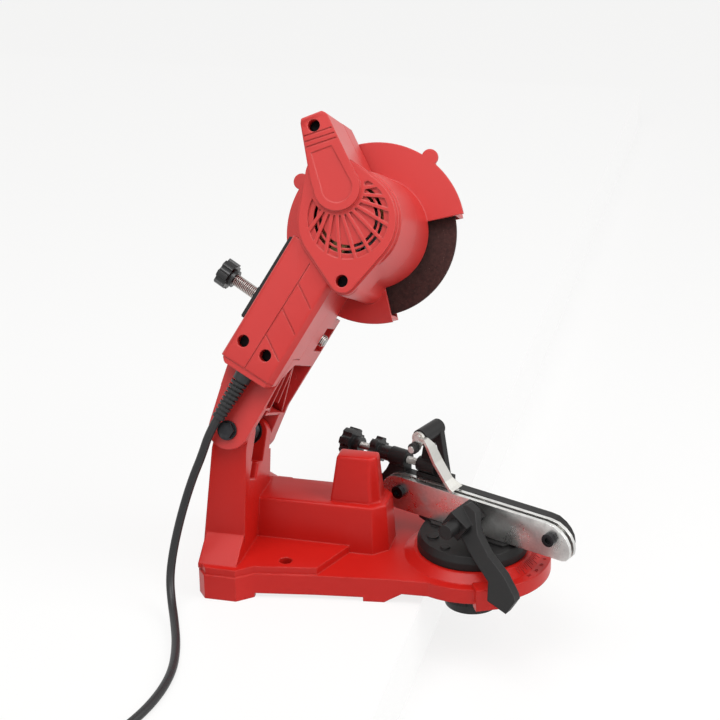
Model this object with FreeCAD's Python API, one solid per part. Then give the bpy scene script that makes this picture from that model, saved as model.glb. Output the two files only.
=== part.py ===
"""Bench grinder for sharpening saw chains: a hinged motor head with a thin wheel over a swivelling chain vise.

Millimetres, +Z up. The origin lies on the bench face under the pillar's pivot. +X runs along the base
towards the vise, +Y away from the motor's side. Three frames carry the pieces:
  base frame   X, Y, Z as above
  head frame   u along the arm from pivot to spindle, v square to it (up and back), h along the pivot
               towards the motor's end; h = 0 is the middle plane of the wheel
  table frame  s along the chain groove, n across it (away from the motor's side), z up
"""
import math
import os

import FreeCAD
import Part

os.makedirs("parts", exist_ok=True)

# ---------------------------------------------------------------- clearances
RUN = 0.05            # radial clearance of a running fit
GAP = 0.3             # air between pieces that move past each other
SEAT = 0.03           # radial clearance of a seated fit

# ---------------------------------------------------------------- base
DECK_Z = 22.0         # rear deck above the bench
FRONT_Z = 17.0        # front deck above the bench
WALL = 3.0            # wall of the red mouldings
FOOT_RISE = 3.0       # gap under the base between its feet
NOSE_Z = 7.0          # underside of the overhanging front
TABLE_X = 150.0       # swivel axis of the vise from the pivot
LIP_R = 51.7          # round front of the base
PAD_R = 38.5          # raised pad under the turntable
PAD_FOOT_R = 45.0
BOLT_X, BOLT_Y = 35.8, 48.3     # bench bolt holes
BENCH_HOLE_R = 4.25
BENCH_BOSS_R = 8.0
LEDGE_Z = 50.0        # top of the ledge
STOP_Z = 82.0         # top of the stop block
LUG_ANGLE = -64.5     # lug on the round front, degrees from +X
LUG_R, LUG_W = 55.0, 24.0
LUG_DROP = 3.0        # how far the lug hangs below the front
PILLAR_NEAR_Y, PILLAR_FAR_Y = -48.0, 6.0

# ---------------------------------------------------------------- pivot and head
TILT = 25.2           # lean of the head's plane
PIVOT_Z = 83.8        # pivot axis where it crosses the wheel's plane
GRIND_Z = 60.1        # lowest point of the lowered wheel over the swivel axis
RAISE = 63.1          # arm above level, raised
PIVOT_R = 4.0         # pivot bolt
PIVOT_HEAD_R, PIVOT_HEX_R = 6.3, 5.5
ARM_LEN = 153.5       # pivot to spindle
WHEEL_R, WHEEL_T = 54.0, 3.2
GUARD_R = 59.8        # near wall of the guard, a little off the spindle
GUARD_SHIFT = (0.8, -1.2)
RIM_R = 57.4          # rim of the guard behind that wall
EAR_R2 = 5.4          # round ears of the near wall
EAR_POSTS_R = 58.4    # circle of the cover's screw posts
POST_R = 3.4
GUARD_H = 10.0        # near wall of the guard from the wheel's plane
GUARD_WALL = 2.5
GUARD_OPEN = (-135.0, -47.0)    # open sector, degrees from the arm's line
COVER_T = 1.5
FAR_H = -10.0         # far face of the arm
FAR_CHEEK_H = 4.4     # inner face of the far cheek
NEAR_CHEEK_R, FAR_CHEEK_R = 13.3, 11.5
EAR_R, EAR_X = 10.9, 1.2        # round top of the fork and its offset from the pivot
SLOT_H = (16.4, 43.8)           # fork slot across the pivot
SLOT_FLOOR = -18.8
GROOVE_H, GROOVE_FLOOR = (26.0, 40.0), -30.0
PART_H = 44.0         # joint between arm and motor cover
HEAD_H = 86.0         # near face of the motor drum
GRIP_H = HEAD_H - 4.0         # near face of the grip
CHEEK_H = GRIP_H - 15.6        # outer face of the near cheek
NEAR_CHEEK_H = CHEEK_H - 6.4   # inner face of the near cheek
HANDLE_H = HEAD_H + 3.0       # near face of the handle boss
HANDLE_FAR_H = 20.0
DRUM_R, DRUM_NEAR_R = 36.0, 32.5
BACK_V = 24.0         # back of the arm
BELLY_V = (-7.5, -10.6, -12.6)  # underside at the far face, at the joint and at the grip's bevel
GRIP_U = (37.0, ARM_LEN - 25.5)
GRIP_V = (-9.7, 25.2)
BOX_U = (18.0, ARM_LEN - 25.5)
CAVITY_U = (25.0, 56.0)         # ribbed hollow in the underside
RIB_T = 1.6
SCREW_HOLES = ((55.0, 17.6), (54.8, 0.5), (ARM_LEN - 33.5, -17.4), (ARM_LEN + 39.3, 48.9))
SCREW_R, SCREW_HEAD_R = 1.9, 3.6
HOLE_R = 3.9

# ---------------------------------------------------------------- motor
SHAFT_R, SHAFT_TAIL_R = 4.0, 3.0
BEARING_R, BEARING_T = 11.0, 7.0
TAIL_BEARING_R, TAIL_BEARING_T = 9.5, 6.0
BEARING_H = 11.0
TAIL_BEARING_H = HEAD_H - 13.0
FLANGE_R, FLANGE_T = 17.0, 4.0
ROTOR_R, ROTOR_H = 16.0, (33.0, HEAD_H - 30.0)
STATOR_BORE, STATOR_R, STATOR_H = 16.6, 28.0, (31.0, HEAD_H - 28.0)
FAN_R, FAN_H = 27.0, (20.5, 26.5)
COMMUTATOR_R, COMMUTATOR_H = 8.5, (HEAD_H - 27.0, HEAD_H - 17.0)
BRUSH_W = 5.0

# ---------------------------------------------------------------- depth stop
DEPTH_U, DEPTH_H = 76.3, 10.0
DEPTH_R = 4.0
DEPTH_TIP_V, DEPTH_TOP_V = -11.5, 63.5
DEPTH_KNOB_R, DEPTH_KNOB_T = 9.6, 8.0

# ---------------------------------------------------------------- turntable and vise
TABLE_R, TABLE_TOP_R, TABLE_H = 36.5, 34.5, 9.5
SWIVEL = -22.3        # chain groove from +X
SWIVEL_R = 4.0
VISE_Z = (33.4, 57.0)  # chain plates
PLATE_T = 2.6
GROOVE = 2.8          # chain groove between the plates
VISE_SCREW_S, VISE_SCREW_Z = (-55.5, 61.0), 47.0
VISE_SCREW_R, VISE_HEAD_R, VISE_HEAD_T = 2.5, 4.4, 3.6
VISE_BODY_T = 7.8
LEVER_S, LEVER_Z = 3.0, 48.0
STUD_R = 2.9
LEVER_T = 6.0
LEVER_FRONT_N, LEVER_SLOPE = -22.0, 0.8
LEVER_CAP_N, LEVER_CAP_R = -37.5, 5.0
KNOB_R, KNOB_LOW_R, KNOB_BOTTOM = 21.5, 18.0, -20.5
STOP_S = -36.2        # chain-stop tube along the groove
STOP_TUBE_Z, STOP_TUBE_R, STOP_TUBE_N = 93.2, 5.5, (-8.8, 12.6)
STOP_PIN_R = 2.9
ROD_N, ROD_Z, ROD_R = 8.0, 65.0, 2.5
STAR_S, STAR_T, STAR_R = -84.5, 5.0, 9.3
STOP_KNOB_S, STOP_KNOB_R, STOP_KNOB_T = -108.0, 10.0, 7.5

# ---------------------------------------------------------------- power cord
CORD_R = 2.8
RELIEF_H, RELIEF_V = GRIP_H - 7.0, 7.3
RELIEF_TIP_U, RELIEF_R, RELIEF_TIP_R, RELIEF_NECK_R = 4.5, 5.8, 4.1, 4.0
COIL_X, COIL_Y, COIL_R = 6.0, -300.0, 32.0
COIL_HALF_W, COIL_H = 12.0, 11.8
PLUG_END = (72.0, -286.0, 7.0)


# ================================================================ helpers
def vec(x, y, z=0.0):
    return FreeCAD.Vector(x, y, z)


def frame(ex, ey, ez, origin):
    """Placement whose local axes are ex, ey, ez."""
    m = FreeCAD.Matrix(ex.x, ey.x, ez.x, origin.x,
                       ex.y, ey.y, ez.y, origin.y,
                       ex.z, ey.z, ez.z, origin.z,
                       0, 0, 0, 1)
    return FreeCAD.Placement(m)


def put(shape, placement):
    moved = shape.copy()
    moved.Placement = placement.multiply(moved.Placement)
    return moved


def prism(points, z0, z1):
    """Straight solid on a flat outline."""
    loop = [vec(x, y, z0) for x, y in points]
    return Part.Face(Part.makePolygon(loop + loop[:1])).extrude(vec(0, 0, z1 - z0))


def sheet(points, direction):
    """Solid pulled from a flat outline given in space."""
    return Part.Face(Part.makePolygon(points + points[:1])).extrude(direction)


def taper(low, z0, high, z1):
    """Solid between two outlines with as many corners."""
    wires = []
    for points, z in ((low, z0), (high, z1)):
        loop = [vec(x, y, z) for x, y in points]
        wires.append(Part.makePolygon(loop + loop[:1]))
    return Part.makeLoft(wires, True, True)


def cyl(x, y, r, z0, z1):
    return Part.makeCylinder(r, z1 - z0, vec(x, y, z0))


def cone(x, y, r0, r1, z0, z1):
    return Part.makeCone(r0, r1, z1 - z0, vec(x, y, z0))


def rod(start, direction, r, length):
    return Part.makeCylinder(r, length, start, direction)


def box(x, y, z):
    return Part.makeBox(x[1] - x[0], y[1] - y[0], z[1] - z[0], vec(x[0], y[0], z[0]))


def capsule(a, ra, b, rb, z0, z1):
    """Flat bar with round ends of radius ra at a and rb at b."""
    (ax, ay), (bx, by) = a, b
    length = math.hypot(bx - ax, by - ay)
    turn = math.atan2(by - ay, bx - ax)
    side = math.acos((ra - rb) / length)
    quad = [(ax + ra * math.cos(turn + side), ay + ra * math.sin(turn + side)),
            (bx + rb * math.cos(turn + side), by + rb * math.sin(turn + side)),
            (bx + rb * math.cos(turn - side), by + rb * math.sin(turn - side)),
            (ax + ra * math.cos(turn - side), ay + ra * math.sin(turn - side))]
    return join(cyl(ax, ay, ra, z0, z1), cyl(bx, by, rb, z0, z1), prism(quad, z0, z1))


def join(first, *others):
    return first.fuse(list(others)).removeSplitter()


def cut(first, *others):
    return first.cut(list(others))


def ring(x, y, r_out, r_in, z0, z1):
    return cut(cyl(x, y, r_out, z0, z1), cyl(x, y, r_in, z0 - 1, z1 + 1))


def sector(r, a0, a1, z0, z1, x=0.0, y=0.0):
    """Pie slice from angle a0 to a1 in degrees."""
    return Part.makeCylinder(r, z1 - z0, vec(x, y, z0), vec(0, 0, 1), a1 - a0).rotate(
        vec(x, y, 0), vec(0, 0, 1), a0)


def inset(points, d):
    """Outline moved inwards by d on every side; the points run anticlockwise."""
    moved = []
    count = len(points)
    for i in range(count):
        (ax, ay), (bx, by), (cx, cy) = points[i - 1], points[i], points[(i + 1) % count]
        l0, l1 = math.hypot(bx - ax, by - ay), math.hypot(cx - bx, cy - by)
        n0 = (-(by - ay) / l0, (bx - ax) / l0)
        n1 = (-(cy - by) / l1, (cx - bx) / l1)
        k = d / (1 + n0[0] * n1[0] + n0[1] * n1[1])
        moved.append((bx + k * (n0[0] + n1[0]), by + k * (n0[1] + n1[1])))
    return moved


def mirrored(points):
    """Outline across the X axis as well."""
    return points + [(x, -y) for x, y in reversed(points) if y]


def lobed(r, lobes, depth, z0, z1):
    """Hand knob: a disc with a scalloped edge."""
    bite = depth * 1.6
    scallops = [cyl((r + bite - depth) * math.cos(a), (r + bite - depth) * math.sin(a), bite, z0 - 1, z1 + 1)
                for a in (2 * math.pi * (i + 0.5) / lobes for i in range(lobes))]
    return cut(cyl(0, 0, r, z0, z1), *scallops)


def hexagon(r, z0, z1):
    return prism([(r * math.cos(math.radians(60 * i)), r * math.sin(math.radians(60 * i))) for i in range(6)], z0, z1)


def export(name, shape, placement=None):
    solids = shape.Solids
    shape = solids[0] if len(solids) == 1 else Part.makeCompound(solids)
    if placement is not None:
        shape = put(shape, placement)
    shape.exportStep("parts/%s.step" % name)
    print("%-24s solids %d volume %.0f valid %s" % (name, len(solids), shape.Volume, shape.isValid()))


# ================================================================ frames
tilt = math.radians(TILT)
X_AXIS = vec(1, 0, 0)
LEAN_UP = vec(0, math.sin(tilt), math.cos(tilt))
TOWARDS = vec(0, -math.cos(tilt), math.sin(tilt))
PIVOT = vec(0, (PIVOT_Z - GRIND_Z) * math.tan(tilt), PIVOT_Z)
POST = frame(X_AXIS, LEAN_UP, TOWARDS, PIVOT)
HEAD = POST.multiply(FreeCAD.Placement(vec(0, 0, 0), FreeCAD.Rotation(vec(0, 0, 1), RAISE)))
swivel = math.radians(SWIVEL)
TABLE = frame(vec(math.cos(swivel), math.sin(swivel), 0), vec(-math.sin(swivel), math.cos(swivel), 0),
              vec(0, 0, 1), vec(TABLE_X, 0, 0))
ALONG = vec(1, 0, 0)      # along the groove, in the table frame
ACROSS = vec(0, 1, 0)


# ================================================================ base
def nose_outline():
    """Half outline of the base in plan, from the back to the round front."""
    return [(-19, -62), (-13, -70), (8, -70), (18, -61.5), (58, -55), (105, -49), (TABLE_X - 20, 4 - LIP_R)]


SKIRT = mirrored(nose_outline())
DECK = mirrored(inset(SKIRT, 1.2)[:4] + [(58, -53.6), (72, -18)])
LEDGE_FOOT = [(4, -20), (87, -20), (96, -11), (96, 10), (90, 17), (4, 17)]
LEDGE_TOP = [(4, -17.6), (86, -17.6), (94, -10), (94, 8.5), (88.5, 14.8), (4, 14.8)]
STOP_FOOT = [(56.5, -12.6), (84, -12.6), (89.5, -6.5), (89.5, 6), (56.5, 6)]
STOP_TOP = [(61, -10.6), (82.5, -10.6), (87, -6), (87, 2.5), (61, 2.5)]


def make_base():
    lower = join(prism(SKIRT, 0, FRONT_Z),
                 cyl(TABLE_X, 0, LIP_R, NOSE_Z, FRONT_Z))
    deck = prism(DECK, FRONT_Z - 1, DECK_Z)
    pad = cone(TABLE_X, 0, PAD_FOOT_R, PAD_R, FRONT_Z - 0.01, DECK_Z - GAP)
    ledge = taper(LEDGE_FOOT, FRONT_Z - 1, LEDGE_TOP, LEDGE_Z)
    stop = taper(STOP_FOOT, LEDGE_Z - 1, STOP_TOP, STOP_Z)
    # fork pillar: upright sides, its profile square to the leaning pivot
    profile = join(prism([(-EAR_R + EAR_X, 0), (EAR_R + EAR_X, 0), (6.5, -105), (-23.5, -105)],
                         -40, NEAR_CHEEK_H - GAP),
                   cyl(EAR_X, 0, EAR_R, -40, NEAR_CHEEK_H - GAP))
    band = box((-40, 40), (PILLAR_NEAR_Y, PILLAR_FAR_Y), (DECK_Z - 3, 160))
    pillar = put(profile, POST).common(band)
    near_flare = sheet([vec(-18.6, -64.5, DECK_Z - 3), vec(-18.6, -64.5, DECK_Z), vec(-17.5, -47.5, 37.5),
                        vec(-17.5, -47.5, DECK_Z - 3)], vec(25.6, 0, 0))
    far_flare = sheet([vec(-17.5, 5, DECK_Z - 3), vec(-17.5, 5, 58), vec(-17.5, 12.7, 54), vec(-17.5, 29, 43),
                       vec(-17.5, 47, DECK_Z - 3)], vec(27.5, 0, 0))
    lug = put(join(box((40, LUG_R), (-LUG_W / 2, LUG_W / 2), (NOSE_Z - LUG_DROP, FRONT_Z)),
                   prism([(44, -LUG_W / 2), (LUG_R, -LUG_W / 2), (LUG_R, LUG_W / 2), (44, LUG_W / 2)],
                         FRONT_Z - 1, FRONT_Z + 2)),
              FreeCAD.Placement(vec(TABLE_X, 0, 0), FreeCAD.Rotation(vec(0, 0, 1), LUG_ANGLE)))
    outer = join(lower, deck, pad, ledge, stop, pillar, near_flare, far_flare, lug)

    # underside: feet at the back and under the front deck, overhanging nose above them
    under = [box((18, 88), (-90, 90), (-1, FOOT_RISE)),
             sheet([vec(100, -90, -1), vec(113, -90, NOSE_Z), vec(220, -90, NOSE_Z), vec(220, -90, -1)],
                   vec(0, 180, 0)).cut(put(box((30, LUG_R + 1), (-LUG_W / 2, LUG_W / 2), (-2, NOSE_Z + 1)),
                                           FreeCAD.Placement(vec(TABLE_X, 0, 0),
                                                             FreeCAD.Rotation(vec(0, 0, 1), LUG_ANGLE))))]
    # hollow moulding, open below, with bosses and ribs left standing
    low_room = join(prism(inset(SKIRT, WALL), -1, FRONT_Z - WALL),
                    cyl(TABLE_X, 0, LIP_R - WALL, -1, FRONT_Z - WALL))
    rear_room = prism(inset(DECK, WALL), FRONT_Z - WALL - 1, DECK_Z - WALL)
    ledge_room = taper(inset(LEDGE_FOOT, WALL), FRONT_Z - WALL - 1, inset(LEDGE_TOP, WALL), LEDGE_Z - WALL)
    stop_room = taper(inset(STOP_FOOT, WALL), LEDGE_Z - WALL - 1, inset(STOP_TOP, WALL), STOP_Z - WALL)
    near, far = PILLAR_NEAR_Y + WALL, PILLAR_FAR_Y - WALL
    pillar_room = taper([(-19 + WALL, near), (8 - WALL, near), (8 - WALL, far), (-19 + WALL, far)],
                        DECK_Z - WALL - 1,
                        [(-15 + WALL, near), (10 - WALL, near), (10 - WALL, far), (-15 + WALL, far)], 60)
    bosses = [cyl(BOLT_X, side * BOLT_Y, BENCH_BOSS_R, FOOT_RISE, DECK_Z) for side in (-1, 1)]
    bosses.append(cyl(TABLE_X, 0, 12, NOSE_Z - 2, FRONT_Z))
    ribs = [box((x, x + 2.4), (-70, 70), (FOOT_RISE, 47)) for x in (18, 58)]
    ribs += [box((-20, TABLE_X + LIP_R - 2), (-1.2, 1.2), (NOSE_Z, FRONT_Z)),
             box((100, 102.4), (-60, 60), (NOSE_Z, FRONT_Z))]
    room = join(low_room, rear_room, ledge_room, stop_room, pillar_room).cut(bosses + ribs)
    base = cut(outer, room, *under)
    base = join(base, bosses[2].common(cyl(TABLE_X, 0, 13, NOSE_Z - 2, FRONT_Z)))

    # fork slot, the cheeks' swing room and the bores
    far_swing = join(cyl(0, 0, FAR_CHEEK_R + 4, -60, FAR_CHEEK_H + GAP),
                     box((-30, 60), (0, 90), (-60, FAR_CHEEK_H + GAP)))
    slot = box((-40, 40), (SLOT_FLOOR, 60), SLOT_H)
    groove = box((-40, 40), (GROOVE_FLOOR, SLOT_FLOOR + 1), GROOVE_H)
    bore = cyl(0, 0, PIVOT_R + SEAT, -60, 90)
    swivel_bore = cyl(TABLE_X, 0, SWIVEL_R + RUN, -5, DECK_Z + 5)
    bench_holes = [cyl(BOLT_X, side * BOLT_Y, BENCH_HOLE_R, -5, DECK_Z + 5) for side in (-1, 1)]
    return cut(base, *[put(s, POST) for s in (far_swing, slot, groove, bore)], swivel_bore, *bench_holes)


export("base_moulding", make_base())

# pivot bolt through both cheeks and the fork, with its washer, lock nut and the head's return spring
bolt_head = join(cyl(0, 0, PIVOT_HEAD_R, CHEEK_H + GAP, CHEEK_H + GAP + 1.2),
                 hexagon(PIVOT_HEX_R, CHEEK_H + GAP + 1.0, CHEEK_H + GAP + 4.8))
export("pivot_bolt", join(bolt_head, cyl(0, 0, PIVOT_R, FAR_H - 7.5, CHEEK_H + GAP + 1)), POST)
export("pivot_lock_nut", cut(hexagon(7.4, FAR_H - 7.0, FAR_H - GAP), cyl(0, 0, PIVOT_R + SEAT, -40, 0)), POST)
export("pivot_washer", ring(0, 0, 9.0, PIVOT_R + SEAT, SLOT_H[0] + 0.02, SLOT_H[0] + 1.8), POST)
spring_h = (SLOT_H[0] + 1.85, SLOT_H[1] - 0.05)
spring = join(ring(0, 0, 8.2, 6.0, *spring_h),
              box((-2, 0), (SLOT_FLOOR + 0.1, -6.5), (spring_h[0] + 8, spring_h[0] + 10)))
export("return_spring", spring, POST)


# ================================================================ arm with the guard's back shell
def arm_section(h0, h1, v_back, belly0, belly1, u):
    """Length of the arm's box whose underside slopes with h."""
    pts = [vec(u[0], belly0, h0), vec(u[0], v_back, h0), vec(u[0], v_back, h1), vec(u[0], belly1, h1)]
    return sheet(pts, vec(u[1] - u[0], 0, 0))


TONGUE_AT, TONGUE_R = (ARM_LEN + 14.2, 15.9), 14.7
LOBE_AT = (ARM_LEN - 32.5, -17.5)


def handle_outline(z0, z1):
    sides = [(25.1, 6.2), (50.0, 45.8), (49.7, 49.8), (39.0, 58.4), (35.0, 56.4), (12.5, 36.0), (3.3, 25.6)]
    return join(cyl(TONGUE_AT[0], TONGUE_AT[1], TONGUE_R, z0, z1),
                prism([(ARM_LEN + u, v) for u, v in sides], z0, z1))


def drum(r0, r1, z0, z1):
    return cone(ARM_LEN, 0, r0, r1, z0, z1)


EAR_ANGLES = (87.0, -4.5)
EAR_SPOTS = [(ARM_LEN + GUARD_SHIFT[0] + 61 * math.cos(math.radians(a)),
              GUARD_SHIFT[1] + 61 * math.sin(math.radians(a))) for a in EAR_ANGLES]
POST_SPOTS = [(ARM_LEN + EAR_POSTS_R * math.cos(math.radians(a)), EAR_POSTS_R * math.sin(math.radians(a)))
              for a in EAR_ANGLES]


def open_front(z0, z1):
    """Sector in which the wheel is uncovered."""
    return sector(GUARD_R + 20, GUARD_OPEN[0], GUARD_OPEN[1], z0, z1, ARM_LEN, 0)


def make_arm():
    near_cheek = join(cyl(1.2, 0, NEAR_CHEEK_R, NEAR_CHEEK_H, CHEEK_H),
                      prism([(1.2, -NEAR_CHEEK_R), (22, -13.0), (40, -11.8), (60, -11.8), (60, 22.4), (34.5, 22.4),
                             (-1.8, 13.0)], NEAR_CHEEK_H, CHEEK_H))
    far_cheek = join(cyl(0, 0, FAR_CHEEK_R, FAR_H, FAR_CHEEK_H),
                     prism([(0, -FAR_CHEEK_R), (26, BELLY_V[0]), (26, BACK_V), (-1, FAR_CHEEK_R)],
                           FAR_H, FAR_CHEEK_H))
    body = arm_section(FAR_H, PART_H, BACK_V, BELLY_V[0], BELLY_V[1], (BOX_U[0], 92))
    bridge = taper([(22, BELLY_V[1]), (60, BELLY_V[1]), (60, 22.4), (34.5, 22.4), (22, 19.4)], PART_H,
                   [(22, -12.6), (60, -11.8), (60, 22.4), (34.5, 22.4), (22, 19.4)], CHEEK_H)
    neck = arm_section(GUARD_H - 2.5, PART_H, BACK_V, -8.5, BELLY_V[1], (90, BOX_U[1]))
    housing = drum(DRUM_R + 1, DRUM_R, GUARD_H - 1, PART_H)
    lobe = capsule((ARM_LEN, 0), 22, LOBE_AT, 9.8, GUARD_H - 1, PART_H)
    handle = handle_outline(HANDLE_FAR_H, PART_H)
    wall = join(cyl(ARM_LEN + GUARD_SHIFT[0], GUARD_SHIFT[1], GUARD_R, GUARD_H - GUARD_WALL, GUARD_H),
                *[cyl(x, y, EAR_R2, GUARD_H - GUARD_WALL, GUARD_H) for x, y in EAR_SPOTS])
    rim = join(ring(ARM_LEN, 0, RIM_R, RIM_R - 2, FAR_H - 0.5, GUARD_H),
               *[cyl(x, y, POST_R, FAR_H - 0.5, GUARD_H - 1) for x, y in POST_SPOTS])
    guard = cut(join(wall, rim), open_front(FAR_H - 2, GUARD_H + 0.01))
    arm = join(near_cheek, far_cheek, body, bridge, neck, housing, lobe, handle, guard)
    wheel_room = cyl(ARM_LEN, 0, RIM_R - 2, FAR_H - 5, GUARD_H - GUARD_WALL)
    arm = cut(arm, wheel_room)

    # ribbed hollow open to the underside, and the room for switch and wires open to the cover
    hollow = box(CAVITY_U, (-30, BACK_V - WALL), (FAR_H + WALL, NEAR_CHEEK_H - 26))
    webs = [prism([(CAVITY_U[0] - 2 + k, -3), (CAVITY_U[0] - 0.4 + k, -3), (CAVITY_U[1] - 14 + k, BACK_V),
                   (CAVITY_U[1] - 15.6 + k, BACK_V)], FAR_H, PART_H) for k in (4, 12, 20)]
    floor_rib = box((BOX_U[0], CAVITY_U[1]), (4, 4 + RIB_T), (FAR_H, PART_H))
    hollow = hollow.cut(webs + [floor_rib])
    tunnel = box((CAVITY_U[1] + WALL, BOX_U[1] - 4), (BELLY_V[0] + WALL, BACK_V - WALL), (16, PART_H + 1))
    depth_boss = cyl(0, 0, 7.5, -30, 60)
    depth_boss = put(depth_boss, DEPTH)
    tunnel = tunnel.cut(depth_boss)
    motor_room = cyl(ARM_LEN, 0, DRUM_R - WALL, BEARING_H + BEARING_T, PART_H + 1)
    cable_way = box((44, 60), (4, 18), (PART_H - 20, CHEEK_H + 1))
    notch = box((67.5, 85), (-30, -1.5), (FAR_H - 1, DEPTH_H + 6.5))
    seat = cyl(ARM_LEN, 0, BEARING_R + SEAT, BEARING_H, 40)
    neck_hole = cyl(ARM_LEN, 0, 9.0, -1, 40)
    bore = cyl(0, 0, PIVOT_R + RUN, -40, 90)
    depth_bore = put(cyl(0, 0, DEPTH_R + RUN, -40, 80), DEPTH)
    nut_pocket = put(hexagon(8.0 + SEAT, BACK_V - 6.0, BACK_V + 10), DEPTH)
    holes = [cyl(x, y, SCREW_R - 0.3 + SEAT, PART_H - 18, PART_H + 1) for x, y in SCREW_HOLES[2:]]
    holes += [cyl(x, y, SCREW_R - 0.3 + SEAT, PART_H - 18, CHEEK_H + 1) for x, y in SCREW_HOLES[:2]]
    ear_holes = [cyl(x, y, 1.5 + SEAT, FAR_H - 2, GUARD_H - 4) for x, y in POST_SPOTS]
    return cut(arm, hollow, tunnel, motor_room, cable_way, notch, seat, neck_hole, bore, depth_bore,
               nut_pocket, *holes, *ear_holes)


# the depth screw leans a little so that it meets the stop block squarer
DEPTH = frame(vec(1, -0.0437, 0).normalize(), vec(0, 0, -1), vec(0.0437, 1, 0).normalize(), vec(DEPTH_U, 0, DEPTH_H))
arm = make_arm()
export("arm_moulding", arm, HEAD)

cover_h = (FAR_H - 0.5 - COVER_T, FAR_H - 0.5 - 0.02)
cover = join(cyl(ARM_LEN, 0, RIM_R, *cover_h), *[cyl(x, y, POST_R, *cover_h) for x, y in POST_SPOTS])
cover = cut(cover, open_front(cover_h[0] - 1, cover_h[1] + 1),
            *[cyl(x, y, 1.7, cover_h[0] - 1, cover_h[1] + 1) for x, y in POST_SPOTS])
export("guard_cover", cover, HEAD)
export("guard_cover_screws",
       Part.makeCompound([join(cyl(x, y, 1.5, cover_h[0] - 0.5, GUARD_H - 6),
                               cyl(x, y, 3.0, cover_h[0] - 2.2, cover_h[0] - 0.02)) for x, y in POST_SPOTS]), HEAD)


# ================================================================ motor cover with grip and handle boss
def grip_solid(inset, h1, u):
    """Grip of the cover, its underside edge bevelled."""
    pts = [vec(u[0], BELLY_V[1] + inset, PART_H), vec(u[0], BELLY_V[2] + inset, h1 - 5),
           vec(u[0], GRIP_V[0] + inset, h1), vec(u[0], GRIP_V[1] - inset - 1.0, h1),
           vec(u[0], GRIP_V[1] - inset + 0.8, h1 - 2.5), vec(u[0], GRIP_V[1] - inset + 0.8, PART_H)]
    return sheet(pts, vec(u[1] - u[0], 0, 0))


def head_outline(r, lobe_r, z0, z1):
    """Drum face with its lower screw lobe and the shoulder under the handle."""
    return join(capsule((ARM_LEN, 0), r, LOBE_AT, lobe_r, z0, z1),
                capsule((ARM_LEN, 0), r, (ARM_LEN + 18.0, 24.5), 15.5, z0, z1))


VENT_AT = (ARM_LEN + 1.9, 0.3)
VENT_R = 25.8               # sunk dish
VENT_SINK = 1.6
VENT_SLOTS = ((17.0, 18.9), (20.4, 22.3))   # narrow slots through its floor
VENT_RIBS = [176 + 13.4 * i for i in range(13)]
VENT_RIB_T = 2.2


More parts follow.
